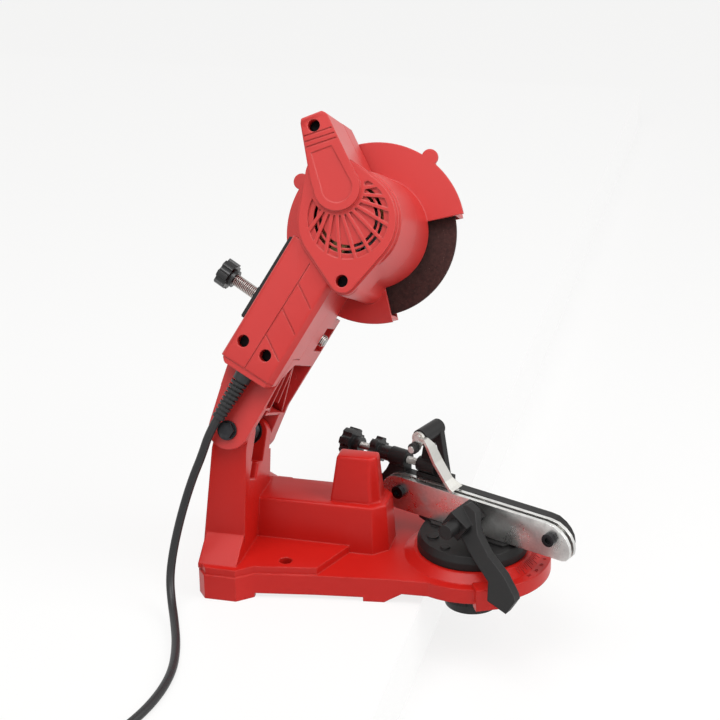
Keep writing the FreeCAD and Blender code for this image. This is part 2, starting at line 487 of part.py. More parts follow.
def make_cover():
    shell_h = PART_H + 0.02
    drum_part = join(drum(DRUM_R, DRUM_NEAR_R + 1, shell_h, HEAD_H - 6), head_outline(DRUM_NEAR_R, 9.5, 50, HEAD_H - 2),
                     head_outline(DRUM_NEAR_R - 1.5, 8.3, HEAD_H - 3, HEAD_H),
                     capsule((ARM_LEN, 0), 22, LOBE_AT, 9.8, shell_h, HEAD_H - 6))
    grip = grip_solid(0, GRIP_H, (GRIP_U[0] + 3.5, GRIP_U[1]))
    toe = cut(grip_solid(0.6, GRIP_H - 1.2, (GRIP_U[0], GRIP_U[0] + 4)),
              sheet([vec(GRIP_U[0] - 1, 20.2, 0), vec(GRIP_U[0] + 5, 26.2, 0), vec(GRIP_U[0] - 1, 40, 0)],
                    vec(0, 0, 120)),
              sheet([vec(GRIP_U[0] - 1, -8.0, 0), vec(GRIP_U[0] + 5, -14.0, 0), vec(GRIP_U[0] - 1, -30, 0)],
                    vec(0, 0, 120)))
    handle = handle_outline(shell_h, HANDLE_H)
    shell = join(drum_part, grip, toe, handle)
    shell = cut(shell, box((0, 300), (-100, 100), (0, shell_h)))
    # the near cheek of the arm enters the grip from below
    cheek_room = box((0, 60 + SEAT), (-30, BACK_V + SEAT), (PART_H - 1, CHEEK_H + SEAT))
    motor_room = cyl(ARM_LEN, 0, DRUM_NEAR_R - WALL + 0.8, PART_H - 1, HEAD_H - WALL)
    tail_boss = cyl(ARM_LEN, 0, TAIL_BEARING_R + 3, TAIL_BEARING_H - 1, HEAD_H - WALL)
    motor_room = cut(motor_room, tail_boss)
    grip_room = grip_solid(WALL, GRIP_H - WALL, (GRIP_U[0] + 5, GRIP_U[1] + 2))
    posts = [cyl(x, y, 6.6, PART_H, HEAD_H) for x, y in SCREW_HOLES[:3]]
    grip_room = cut(grip_room, *posts)
    tail_seat = cyl(ARM_LEN, 0, TAIL_BEARING_R + SEAT, TAIL_BEARING_H - 2, TAIL_BEARING_H + TAIL_BEARING_T + 0.02)
    shaft_room = cyl(ARM_LEN, 0, SHAFT_TAIL_R + 1, TAIL_BEARING_H, TAIL_BEARING_H + TAIL_BEARING_T + 3)
    relief_hole = rod(vec(GRIP_U[0] - 1, RELIEF_V, RELIEF_H), vec(1, 0, 0), RELIEF_NECK_R + SEAT, 8)
    # vents: ribs fan out from the handle's foot; the floor between them is sunk and has two rings of slots
    ribs = [put(box((0, 60), (-VENT_RIB_T / 2, VENT_RIB_T / 2), (HEAD_H - 9, HEAD_H + 1)),
                FreeCAD.Placement(vec(TONGUE_AT[0] - 3.2, TONGUE_AT[1] - 0.4, 0), FreeCAD.Rotation(vec(0, 0, 1), a))) for a in VENT_RIBS]
    keep = [cyl(TONGUE_AT[0], TONGUE_AT[1], TONGUE_R + 2.6, HEAD_H - 9, HEAD_H + 1),
            capsule(TONGUE_AT, TONGUE_R + 1, (ARM_LEN + 43.5, 50), 10, HEAD_H - 9, HEAD_H + 1)]
    sunk = cut(cyl(VENT_AT[0], VENT_AT[1], VENT_R, HEAD_H - VENT_SINK, HEAD_H + 1), *ribs, *keep)
    slots = [cut(ring(VENT_AT[0], VENT_AT[1], outer, inner, HEAD_H - WALL - 1, HEAD_H), *ribs, *keep)
             for inner, outer in VENT_SLOTS]
    vents = sunk.Solids + slots[0].Solids + slots[1].Solids
    screw_cuts = []
    for i, (x, y) in enumerate(SCREW_HOLES):
        face = (GRIP_H, GRIP_H, HEAD_H, HANDLE_H)[i]
        screw_cuts += [cyl(x, y, HOLE_R, face - 9, face + 1), cyl(x, y, SCREW_R + 0.1, PART_H - 1, face + 1)]
    shell = cut(shell, cheek_room, motor_room, grip_room, tail_seat, shaft_room, relief_hole,
                *vents, *screw_cuts)
    switch_window = box((SWITCH_U[0] - 0.1, SWITCH_U[1] + 0.1), (GRIP_V[1] - 8, GRIP_V[1] + 5),
                        (SWITCH_H[0] - 0.1, SWITCH_H[1] + 0.1))
    return cut(shell, switch_window)


SWITCH_U, SWITCH_H = (68.0, 84.0), (GRIP_H - 30.0, GRIP_H - 14.0)
cover_shell = make_cover()
export("motor_cover", cover_shell, HEAD)

screws = []
for i, (x, y) in enumerate(SCREW_HOLES):
    seat_h = (GRIP_H, GRIP_H, HEAD_H, HANDLE_H)[i] - 9 + 0.02
    low = PART_H - 16 if i > 1 else PART_H + 2
    screws.append(join(cyl(x, y, SCREW_R - 0.3, low, seat_h + 1), cyl(x, y, SCREW_HEAD_R, seat_h, seat_h + 2.4)))
export("housing_screws", Part.makeCompound(screws), HEAD)

# rear switch panel on the grip and the rocker switch at its lower end
back_v = GRIP_V[1] + 0.8
panel = box((SWITCH_U[0] - 1, GRIP_U[1] - 2), (back_v + 0.02, back_v + 2.4), (SWITCH_H[0] - 3, GRIP_H - 5))
panel = join(panel, box((SWITCH_U[0] - 1, SWITCH_U[1] + 4), (back_v + 2.3, back_v + 4.5),
                        (SWITCH_H[0] - 3, SWITCH_H[1] + 3)))
panel = cut(panel, box((SWITCH_U[0] + 0.9, SWITCH_U[1] - 0.9), (back_v - 2, back_v + 8),
                       (SWITCH_H[0] + 0.9, SWITCH_H[1] - 0.9)))
export("switch_panel", panel, HEAD)
switch_body = cut(box((SWITCH_U[0] + 0.1, SWITCH_U[1] - 0.1), (back_v - 15, back_v),
                      (SWITCH_H[0] + 0.1, SWITCH_H[1] - 0.1)),
                  box((SWITCH_U[0] + 1.4, SWITCH_U[1] - 1.4), (back_v - 6, back_v + 1),
                      (SWITCH_H[0] + 1.4, SWITCH_H[1] - 1.4)))
export("switch_body", switch_body, HEAD)
ROCKER_U = (SWITCH_U[0] + SWITCH_U[1]) / 2
ROCKER_V = back_v + 1.5
rocker = prism([(-6.2, 0.6), (-6.2, 3.6), (0, 2.4), (6.2, 5.2), (6.2, 2.2), (1.5, -4.2), (-1.5, -4.2)],
               SWITCH_H[0] + 1.8, SWITCH_H[1] - 1.8)
rocker.translate(vec(ROCKER_U, ROCKER_V, 0))
rocker = cut(rocker, cyl(ROCKER_U, ROCKER_V, 1.0 + RUN, 0, 90))
export("rocker", rocker, HEAD)
export("rocker_pin", cyl(ROCKER_U, ROCKER_V, 1.0, SWITCH_H[0] + 0.95, SWITCH_H[1] - 0.95), HEAD)

# ================================================================ motor
axis_u = ARM_LEN
nose_h = -WHEEL_T / 2 - FLANGE_T - 4.0
shaft = join(cyl(axis_u, 0, SHAFT_R, nose_h, COMMUTATOR_H[1] + 1),
             cyl(axis_u, 0, SHAFT_TAIL_R, COMMUTATOR_H[1], TAIL_BEARING_H + TAIL_BEARING_T))
export("motor_shaft", shaft, HEAD)
export("armature_core", cut(lobed(ROTOR_R, 12, 1.2, *ROTOR_H).translate(vec(axis_u, 0, 0)),
                            cyl(axis_u, 0, SHAFT_R + SEAT, 0, 90)), HEAD)
winding = join(ring(axis_u, 0, ROTOR_R - 3, SHAFT_R + SEAT + 1, ROTOR_H[0] - 5, ROTOR_H[0] - 0.02))
export("armature_winding", winding, HEAD)
export("commutator", ring(axis_u, 0, COMMUTATOR_R, SHAFT_R + SEAT, *COMMUTATOR_H), HEAD)
blades = [put(box((11.5, FAN_R), (-0.8, 0.8), (FAN_H[0] + 1.4, FAN_H[1])),
              FreeCAD.Placement(vec(axis_u, 0, 0), FreeCAD.Rotation(vec(0, 0, 1), 30 * i))) for i in range(12)]
fan = join(cyl(axis_u, 0, FAN_R, FAN_H[0], FAN_H[0] + 1.5), cyl(axis_u, 0, 12, *FAN_H), *blades)
export("cooling_fan", cut(fan, cyl(axis_u, 0, SHAFT_R + SEAT, 0, 90)), HEAD)
export("front_bearing", ring(axis_u, 0, BEARING_R, SHAFT_R + RUN, BEARING_H + 0.02, BEARING_H + BEARING_T), HEAD)
export("tail_bearing", ring(axis_u, 0, TAIL_BEARING_R, SHAFT_TAIL_R + RUN, TAIL_BEARING_H,
                            TAIL_BEARING_H + TAIL_BEARING_T), HEAD)
stator = cut(cyl(axis_u, 0, STATOR_R, *STATOR_H), cyl(axis_u, 0, STATOR_BORE, 0, 90),
             box((axis_u - 30, axis_u + 30), (-7, 7), STATOR_H).cut(cyl(axis_u, 0, 24.5, 0, 90)),
             box((axis_u - 24.5, axis_u + 24.5), (-8, 8), STATOR_H).cut(cyl(axis_u, 0, 19.5, 0, 90)))
export("motor_stator", stator, HEAD)
coils = [cut(box((axis_u - 24, axis_u + 24), (side * 13 - 5, side * 13 + 5), (STATOR_H[1] + 0.02, STATOR_H[1] + 5)),
             cyl(axis_u, 0, 17.5, 0, 90)) for side in (-1, 1)]
export("field_coils", Part.makeCompound([s for c in coils for s in c.Solids]), HEAD)
brush_h = (COMMUTATOR_H[0] + 2, COMMUTATOR_H[0] + 2 + BRUSH_W)
brushes, holders = [], []
for side in (-1, 1):
    x0, x1 = sorted((axis_u + side * (COMMUTATOR_R + GAP), axis_u + side * 19))
    brushes.append(box((x0, x1), (-BRUSH_W / 2, BRUSH_W / 2), brush_h))
    x0, x1 = sorted((axis_u + side * (COMMUTATOR_R + 3), axis_u + side * (DRUM_NEAR_R - WALL + 0.1)))
    holders.append(cut(box((x0, x1), (-BRUSH_W / 2 - 2, BRUSH_W / 2 + 2), (brush_h[0] - 2, brush_h[1] + 2)),
                       box((axis_u - 19.05, axis_u + 19.05), (-BRUSH_W / 2 - SEAT, BRUSH_W / 2 + SEAT),
                           (brush_h[0] - SEAT, brush_h[1] + SEAT))))
export("carbon_brushes", Part.makeCompound(brushes), HEAD)
export("brush_holders", Part.makeCompound(holders), HEAD)

# wheel between two flanges on the spindle's nose, held by a nut
half = WHEEL_T / 2
export("inner_flange", ring(axis_u, 0, FLANGE_R, SHAFT_R + SEAT, half + 0.02, half + FLANGE_T), HEAD)
export("grinding_wheel", ring(axis_u, 0, WHEEL_R, SHAFT_R + SEAT, -half, half), HEAD)
export("outer_flange", ring(axis_u, 0, FLANGE_R, SHAFT_R + SEAT, -half - FLANGE_T + 1, -half - 0.02), HEAD)
export("wheel_nut", cut(hexagon(7.5, 0, 3.8).translate(vec(axis_u, 0, nose_h + 0.9)),
                        cyl(axis_u, 0, SHAFT_R + SEAT, -40, 0)), HEAD)

# ================================================================ depth stop on the arm
export("depth_nut", cut(hexagon(8.0, BACK_V - 5.98, BACK_V - 0.6), cyl(0, 0, DEPTH_R + RUN, 0, 80)),
       HEAD.multiply(DEPTH))
tip_v, knob_v = DEPTH_TIP_V, DEPTH_TOP_V
screw = join(cyl(0, 0, DEPTH_R, tip_v + 1.5, knob_v + 5), cone(0, 0, DEPTH_R - 1.2, DEPTH_R, tip_v, tip_v + 1.5))
export("depth_screw", screw, HEAD.multiply(DEPTH))
knob = join(lobed(DEPTH_KNOB_R, 7, 1.6, knob_v + 3.0, knob_v + 3.0 + DEPTH_KNOB_T), cyl(0, 0, 6.2, knob_v, knob_v + 4))
export("depth_knob", cut(knob, cyl(0, 0, DEPTH_R + RUN, 0, knob_v + 5 + GAP)), HEAD.multiply(DEPTH))


# ================================================================ turntable and chain vise
def plate_outline(short=0.0):
    """Side view of a chain plate: round at one end, long and falling at the other."""
    z0, z1 = VISE_Z
    r = (z1 - z0) / 2
    mid = (z0 + z1) / 2
    left = VISE_SCREW_S[0] - 2.7
    arc = [(left + r * math.cos(math.radians(a)), mid + r * math.sin(math.radians(a))) for a in range(90, 271, 15)]
    tip = VISE_SCREW_S[1] + 14.3 - short
    nose = [(tip - 5.6, z0), (tip - 2.4, z0 + 0.9), (tip - 0.6, z0 + 3.2), (tip, z0 + 7.5), (tip - 0.8, z0 + 12),
            (tip - 3.2, z0 + 16.2), (tip - 7, z0 + 19.8), (tip - 12.2, z0 + 22.6), (tip - 18.5, z1)]
    return arc + nose


def plate(n0, n1, outline):
    return sheet([vec(s, n0, z) for s, z in outline], vec(0, n1 - n0, 0))


def across(s, z, r, n0, n1):
    return rod(vec(s, n0, z), ACROSS, r, n1 - n0)


half_groove = GROOVE / 2
near_n = (-half_groove - PLATE_T, -half_groove)
far_n = (half_groove, half_groove + PLATE_T)
body_n = (far_n[1] + 0.02, far_n[1] + 0.02 + VISE_BODY_T)
screw_spots = [(s, VISE_SCREW_Z) for s in VISE_SCREW_S]
spots = screw_spots + [(LEVER_S, LEVER_Z)]
for name, (n0, n1) in (("near_chain_plate", near_n), ("far_chain_plate", far_n)):
    shape = cut(plate(n0, n1, plate_outline()), *[across(s, z, VISE_SCREW_R + SEAT, n0 - 1, n1 + 1) for s, z in screw_spots],
                across(LEVER_S, LEVER_Z, STUD_R + SEAT, n0 - 1, n1 + 1))
    export(name, shape, TABLE)
export("plate_spacers", Part.makeCompound([cut(across(s, z, 5.0, near_n[1] + 0.02, far_n[0] - 0.02),
                                               across(s, z, (VISE_SCREW_R if abs(s) > 10 else STUD_R) + SEAT, -9, 9))
                                           for s, z in spots]), TABLE)

table_z = DECK_Z
top_z = table_z + TABLE_H


def make_vise_body():
    disc = join(cyl(0, 0, TABLE_R, table_z, table_z + 5), cone(0, 0, TABLE_R, TABLE_TOP_R, table_z + 5, top_z))
    disc = cut(disc, cyl(0, 0, TABLE_R - 3, table_z - 1, top_z - 3))
    hub = cyl(0, 0, 11, table_z, top_z)
    jaw_top = VISE_Z[1] - 0.4
    jaw = plate(body_n[0], body_n[1], [(s, min(z, jaw_top)) for s, z in plate_outline(4.8)])
    base_z = VISE_Z[0] - GAP
    pedestal = prism([(-28, -8), (28, -8), (33, 6), (24, 15), (-24, 15), (-33, 6)], top_z - 1, base_z)
    rear_web = prism([(-30, body_n[0]), (30, body_n[0]), (24, 15), (-24, 15)], top_z, VISE_Z[0] + 8)
    wing = prism([(-42, -1), (-28, -6), (-28, 6)], base_z - 3, base_z)
    neck = box((-30, -26), (-6, 6), (top_z - 1, base_z))
    # tail behind the groove: it carries the barrel of the chain stop's screw
    tail_s = VISE_SCREW_S[0] - 20.5
    tail = plate(body_n[0], body_n[1],
                 [(tail_s, 43), (tail_s + 3, 39), (-52, 37), (-57, jaw_top), (-57, ROD_Z),
                  (-69, ROD_Z), (-69, ROD_Z - 3), (tail_s + 3.5, jaw_top - 1.5), (tail_s, jaw_top - 6)])
    barrel = rod(vec(-70, ROD_N, ROD_Z), ALONG, 6.0, 13)
    bosses = [cyl(-17.5, -20.5, 4, top_z - 1, top_z + 1.2), cyl(-3, -28, 3.2, top_z - 1, top_z + 0.8)]
    body = join(disc, hub, jaw, pedestal, rear_web, wing, neck, tail, barrel, *bosses)
    holes = [across(s, z, VISE_SCREW_R + SEAT, 0, 20) for s, z in screw_spots]
    holes.append(across(LEVER_S, LEVER_Z, STUD_R + SEAT, 0, 20))
    holes.append(rod(vec(-90, ROD_N, ROD_Z), ALONG, ROD_R + RUN, 60))
    holes.append(cyl(0, 0, SWIVEL_R + SEAT, table_z - 5, top_z - 2))
    holes.append(box((-2, 9), (body_n[0] - 1, body_n[0] + 1.6), (jaw_top - 6, jaw_top + 5)))
    return cut(body, *holes)


export("vise_body", make_vise_body(), TABLE)
vise_screws = []
for s, z in screw_spots:
    head = cut(across(s, z, VISE_HEAD_R, near_n[0] - VISE_HEAD_T - 0.02, near_n[0] - 0.02),
               across(s, z, 2.2, near_n[0] - VISE_HEAD_T - 1, near_n[0] - VISE_HEAD_T + 1.8))
    vise_screws.append(join(head, across(s, z, VISE_SCREW_R, near_n[0] - 1, body_n[1] - 0.5)))
export("vise_screws", Part.makeCompound(vise_screws), TABLE)
export("clamp_stud", across(LEVER_S, LEVER_Z, STUD_R, -17, body_n[1] - 0.5), TABLE)

swivel_bolt = join(cyl(0, 0, SWIVEL_R, -14, top_z - 2.1))
export("swivel_bolt", swivel_bolt, TABLE)
lock_knob = join(cone(0, 0, KNOB_LOW_R, KNOB_R - 1.6, KNOB_BOTTOM, KNOB_BOTTOM + 7),
                 lobed(KNOB_R, 24, 0.6, KNOB_BOTTOM + 6.9, KNOB_BOTTOM + 17), cyl(0, 0, 11, KNOB_BOTTOM + 16, NOSE_Z - 2 - GAP))
export("lock_knob", cut(lock_knob, cyl(0, 0, SWIVEL_R + RUN, -14 - GAP, 30)), TABLE)


# clamp lever: a square hub on the stud and a blade that slopes out over the turntable's rim
def lever_point(s, z):
    return vec(s, LEVER_FRONT_N - LEVER_SLOPE * (LEVER_Z - z), z)


blade = [(-5.0, 48.0), (10.7, 40.3), (23.4, 32.6), (37.9, 25.0), (42.0, 16.0), (57.4, 12.8), (60.6, 19.9),
         (58.7, 22.1), (47.2, 29.8), (31.4, 37.1), (19.0, 45.5), (11.5, 56.0), (4.0, 58.0), (-2.0, 55.5)]
lever = sheet([lever_point(s, z) for s, z in blade], vec(0, LEVER_T, 0))
hub = box((-7.5, 7.5), (LEVER_FRONT_N - 5, near_n[0] - GAP), (-6.5, 6.5))
hub.rotate(vec(0, 0, 0), ACROSS, 33)
hub.translate(vec(LEVER_S, 0, LEVER_Z))
cap = across(LEVER_S, LEVER_Z, LEVER_CAP_R, LEVER_CAP_N, LEVER_FRONT_N + 4)
lever = cut(join(lever, hub, cap), across(LEVER_S, LEVER_Z, STUD_R + RUN, -17 - GAP, 0))
export("clamp_lever", lever, TABLE)

# ================================================================ chain stop
body_top = VISE_Z[1] - 0.4
tube_n0, tube_n1 = STOP_TUBE_N
foot = box((-48, -24), (body_n[0] + GAP, body_n[1] + GAP + 3), (body_top + GAP, body_top + 3.7))
hook = box((-48, -24), (body_n[1] + GAP, body_n[1] + GAP + 3), (body_top - 12, body_top + 3.7))
web_n = (6.6, 11.2)
web = sheet([vec(-48, web_n[0], body_top + GAP), vec(-24, web_n[0], body_top + GAP),
             vec(STOP_S + 5.4, web_n[0], STOP_TUBE_Z + 1), vec(STOP_S - 5.4, web_n[0], STOP_TUBE_Z + 1)],
            vec(0, web_n[1] - web_n[0], 0))
window = sheet([vec(-34.2, 5, 84.5), vec(-39.4, 5, 75.2), vec(-30.0, 5, 71.8)], vec(0, 8, 0))
collar = rod(vec(-48, ROD_N, ROD_Z), ALONG, 5.0, 14)
carriage = cut(join(foot, hook, web, collar, across(STOP_S, STOP_TUBE_Z, STOP_TUBE_R, tube_n0, tube_n1)),
               window, across(STOP_S, STOP_TUBE_Z, STOP_PIN_R + RUN, tube_n0 - 1, tube_n1 - 2),
               rod(vec(-60, ROD_N, ROD_Z), ALONG, ROD_R + RUN, 32))
export("stop_carriage", carriage, TABLE)

# pawl: a bent strip from the pin down to the groove, with a flared tip
path = [(-35.6, -11.2, 94.4), (-29.8, -11.5, 94.2), (-28.0, -8.8, 89.6), (-25.0, -5.0, 77.8), (-19.0, -1.6, 64.6),
        (-15.4, -0.2, 60.2), (-13.2, 0.4, 58.4)]
half_widths = [2.0, 2.3, 4.0, 4.5, 4.4, 5.6, 5.9]
PAWL_T = 2.0
wires = []
for i, ((s, n, z), w) in enumerate(zip(path, half_widths)):
    before, after = path[max(i - 1, 0)], path[min(i + 1, len(path) - 1)]
    ds, dz = after[0] - before[0], after[2] - before[2]
    k = PAWL_T / 2 / math.hypot(ds, dz)
    corners = [vec(s - dz * k, n - w, z + ds * k), vec(s - dz * k, n + w, z + ds * k),
               vec(s + dz * k, n + w, z - ds * k), vec(s + dz * k, n - w, z - ds * k)]
    wires.append(Part.makePolygon(corners + corners[:1]))
strip = Part.makeLoft(wires, True, True)
eye = across(STOP_S, STOP_TUBE_Z, 4.7, tube_n0 - GAP - 2, tube_n0 - GAP)
REST_S, REST_Z, REST_R, REST_RING_R = -38.4, 86.6, 2.3, 3.7
ear = capsule((STOP_S, STOP_TUBE_Z), 3.6, (REST_S, REST_Z), 3.2, -1, 1)
ear = put(ear, frame(ALONG, vec(0, 0, 1), vec(0, -1, 0), vec(0, tube_n0 - GAP - 1, 0)))
pawl = cut(join(strip, eye, ear), across(STOP_S, STOP_TUBE_Z, STOP_PIN_R + SEAT, -40, 30),
           across(REST_S, REST_Z, 1.6 + SEAT, -40, 30))
export("pawl", pawl, TABLE)
export("pawl_pin", across(STOP_S, STOP_TUBE_Z, STOP_PIN_R, tube_n0 - GAP - 2.6, tube_n1 - 2.3), TABLE)
face = tube_n0 - GAP - 2
rest_pin = join(across(REST_S, REST_Z, 1.6, face - 1, face + 2), across(REST_S, REST_Z, REST_R, face - 5, face - 0.02))
export("pawl_rest_pin", rest_pin, TABLE)
export("pawl_rest_ring", cut(across(REST_S, REST_Z, REST_RING_R, face - 3, face - 0.1),
                             across(REST_S, REST_Z, REST_R + SEAT, -40, 30)), TABLE)

rod_end = -35.0
export("stop_screw", rod(vec(STOP_KNOB_S + 1.5, ROD_N, ROD_Z), ALONG, ROD_R, rod_end - STOP_KNOB_S - 1.5), TABLE)
TURN_ALONG = frame(vec(0, 1, 0), vec(0, 0, 1), vec(1, 0, 0), vec(0, ROD_N, ROD_Z))
stop_knob = join(lobed(STOP_KNOB_R, 7, 1.6, STOP_KNOB_S, STOP_KNOB_S + STOP_KNOB_T),
                 cyl(0, 0, 5.4, STOP_KNOB_S + STOP_KNOB_T - 1, STOP_KNOB_S + STOP_KNOB_T + 5))
stop_knob = cut(stop_knob, cyl(0, 0, ROD_R + SEAT, STOP_KNOB_S + 1.5, 0))
export("stop_knob", stop_knob, TABLE.multiply(TURN_ALONG))
star = cut(join(lobed(STAR_R, 6, 1.8, STAR_S, STAR_S + STAR_T), cyl(0, 0, 5.2, STAR_S + STAR_T - 1, -70 - GAP)),
           cyl(0, 0, ROD_R + RUN, -120, 0))
export("star_lock_nut", star, TABLE.multiply(TURN_ALONG))


# ================================================================ power cord
relief_at = vec(GRIP_U[0] - 0.02, RELIEF_V, RELIEF_H)
relief_len = relief_at.x - RELIEF_TIP_U
inner_u = GRIP_U[0] + 5 + 0.02
relief = join(Part.makeCone(RELIEF_R, RELIEF_TIP_R, relief_len, relief_at, vec(-1, 0, 0)),
              rod(relief_at, vec(1, 0, 0), RELIEF_NECK_R, inner_u + 2.6 - relief_at.x),
              box((inner_u, inner_u + 2.6), (RELIEF_V - 6, RELIEF_V + 6), (RELIEF_H - 5.2, GRIP_H - WALL - 0.1)))
relief = cut(relief, rod(vec(-20, RELIEF_V, RELIEF_H), vec(1, 0, 0), CORD_R + SEAT, 80))
for i in range(9):
    at = vec(relief_at.x - 5.0 - 3.0 * i, RELIEF_V, RELIEF_H)
    relief = cut(relief, cut(rod(at, vec(-1, 0, 0), 9, 1.3), rod(at, vec(-1, 0, 0), 3.5, 1.3)))
export("strain_relief", relief, HEAD)


def head_point(u, v, h):
    return HEAD.multVec(vec(u, v, h))


start = head_point(RELIEF_TIP_U - 0.05, RELIEF_V, RELIEF_H)
lead = head_point(RELIEF_TIP_U - 10.5, RELIEF_V, RELIEF_H)
CORD_POINTS = [start, lead,
               vec(-14.0, -61.0, 98.0), vec(-19.6, -64.5, 83.5), vec(-26.0, -69.0, 61.5), vec(-30.6, -75.0, 39.0),
               vec(-31.8, -82.5, 20.5), vec(-27.6, -93.0, 9.2), vec(-21.0, -107.5, 4.4), vec(-10.0, -136.0, 3.0),
               vec(-2.5, -168.0, 3.1), vec(-4.0, -203.0, 3.0), vec(-14.0, -237.0, 3.0), vec(-26.0, -266.0, 3.1),
               vec(COIL_X - COIL_R - 6.5, COIL_Y + 12.0, 3.0)]


def cord_path(points):
    """Straight runs joined by tangent arcs as large as both runs allow."""
    edges, at, length = [], points[0], 0.0
    radii = []
    for a, b, c in zip(points, points[1:], points[2:]):
        d0, d1 = (b - a), (c - b)
        run = min(d0.Length, d1.Length)
        d0.normalize()
        d1.normalize()
        turn = d0.getAngle(d1)
        reach = 0.45 * run
        radius = reach / math.tan(turn / 2)
        radii.append(radius)
        p0, p1 = b - d0 * reach, b + d1 * reach
        out = (d1 - d0).normalize()
        mid = b + out * (radius / math.cos(turn / 2) - radius)
        edges += [Part.LineSegment(at, p0).toShape(), Part.Arc(p0, mid, p1).toShape()]
        length += (p0 - at).Length + radius * turn
        at = p1
    edges.append(Part.LineSegment(at, points[-1]).toShape())
    length += (points[-1] - at).Length
    print("cord bend radii", " ".join("%.0f" % r for r in radii))
    return Part.Wire(edges), length


wire, cord_length = cord_path(CORD_POINTS)
first = CORD_POINTS[1] - CORD_POINTS[0]
section = Part.Wire(Part.makeCircle(CORD_R, CORD_POINTS[0], first))
cord = Part.Wire(wire).makePipeShell([section], True, True)
print("cord volume ratio %.4f, tube length %.1f" % (cord.Volume / (math.pi * CORD_R ** 2 * cord_length), cord_length))
export("power_cord", cord)

coil_profile = [(COIL_R - COIL_HALF_W, 2.5), (COIL_R - COIL_HALF_W + 2.3, 0.2), (COIL_R + COIL_HALF_W - 2.3, 0.2),
                (COIL_R + COIL_HALF_W, 2.5), (COIL_R + COIL_HALF_W, COIL_H - 3), (COIL_R + COIL_HALF_W - 3, COIL_H),
                (COIL_R - COIL_HALF_W + 3, COIL_H), (COIL_R - COIL_HALF_W, COIL_H - 3)]
loop = [vec(COIL_X + r, COIL_Y, z) for r, z in coil_profile]
coil = Part.Face(Part.makePolygon(loop + loop[:1])).revolve(vec(COIL_X, COIL_Y, 0), vec(0, 0, 1), 360)
export("cord_coil", Part.Solid(coil) if coil.ShapeType == "Shell" else coil)

# flat two-pin plug beside the coil, and the lead between them
plug_body = taper([(-9, -2), (9, -2), (12, 16), (7, 33), (-7, 33), (-12, 16)], 0.2,
                  [(-8, -1), (8, -1), (11, 16), (6, 32), (-6, 32), (-11, 16)], 13.5)
plug_body = join(plug_body, rod(vec(0, 30, 7), vec(0, 1, 0), 3.8, 13.88))
plug_frame = FreeCAD.Placement(vec(PLUG_END[0], PLUG_END[1] + 44, 0), FreeCAD.Rotation(vec(0, 0, 1), 180))
export("power_plug", plug_body, plug_frame)
pins = [rod(vec(side * 9.3, -21, 7), vec(0, 1, 0), 2.0, 18.98) for side in (-0.5, 0.5)]
export("plug_pins", Part.makeCompound(pins), plug_frame)
LEAD_POINTS = [vec(COIL_X - 2.0, COIL_Y - COIL_R - 7.5, 8.0), vec(26.0, -343.0, 6.6), vec(48.0, -336.0, 4.2),
               vec(65.0, -324.0, 4.0), vec(72.0, -305.0, 7.0), vec(*PLUG_END)]
lead_wire, lead_length = cord_path(LEAD_POINTS)
lead_circle = Part.Wire(Part.makeCircle(CORD_R, LEAD_POINTS[0], LEAD_POINTS[1] - LEAD_POINTS[0]))
plug_lead = Part.Wire(lead_wire).makePipeShell([lead_circle], True, True)
print("lead volume ratio %.4f" % (plug_lead.Volume / (math.pi * CORD_R ** 2 * lead_length)))
export("plug_lead", plug_lead)
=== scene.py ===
import math
import bpy
from mathutils import Matrix, Vector


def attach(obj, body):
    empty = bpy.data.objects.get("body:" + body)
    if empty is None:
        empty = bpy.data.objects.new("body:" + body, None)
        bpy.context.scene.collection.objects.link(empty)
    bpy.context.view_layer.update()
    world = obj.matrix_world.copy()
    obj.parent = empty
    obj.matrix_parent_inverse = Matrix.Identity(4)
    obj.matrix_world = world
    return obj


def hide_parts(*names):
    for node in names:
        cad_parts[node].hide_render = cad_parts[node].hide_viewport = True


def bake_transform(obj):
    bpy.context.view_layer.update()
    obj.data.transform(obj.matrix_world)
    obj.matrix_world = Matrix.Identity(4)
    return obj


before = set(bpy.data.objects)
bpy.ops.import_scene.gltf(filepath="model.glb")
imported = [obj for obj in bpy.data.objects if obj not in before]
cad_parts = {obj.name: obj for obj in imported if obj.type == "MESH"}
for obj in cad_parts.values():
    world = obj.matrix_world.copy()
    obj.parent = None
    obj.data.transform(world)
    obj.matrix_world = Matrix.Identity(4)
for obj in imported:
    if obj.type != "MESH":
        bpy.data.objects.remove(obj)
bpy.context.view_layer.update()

bpy.ops.object.select_all(action="DESELECT")


# ------------------------------------------------------------------ studio
# A pale bench slab carries the base; its front edge stops short of the nose,
# because the knob that locks the turntable hangs below the bench face.
def seen_directly(tree):
    """1 where a surface is seen by the camera or in a reflection, else 0."""
    path = tree.nodes.new("ShaderNodeLightPath")
    either = tree.nodes.new("ShaderNodeMath")
    either.operation = "MAXIMUM"
    tree.links.new(path.outputs["Is Camera Ray"], either.inputs[0])
    tree.links.new(path.outputs["Is Glossy Ray"], either.inputs[1])
    return either.outputs[0]


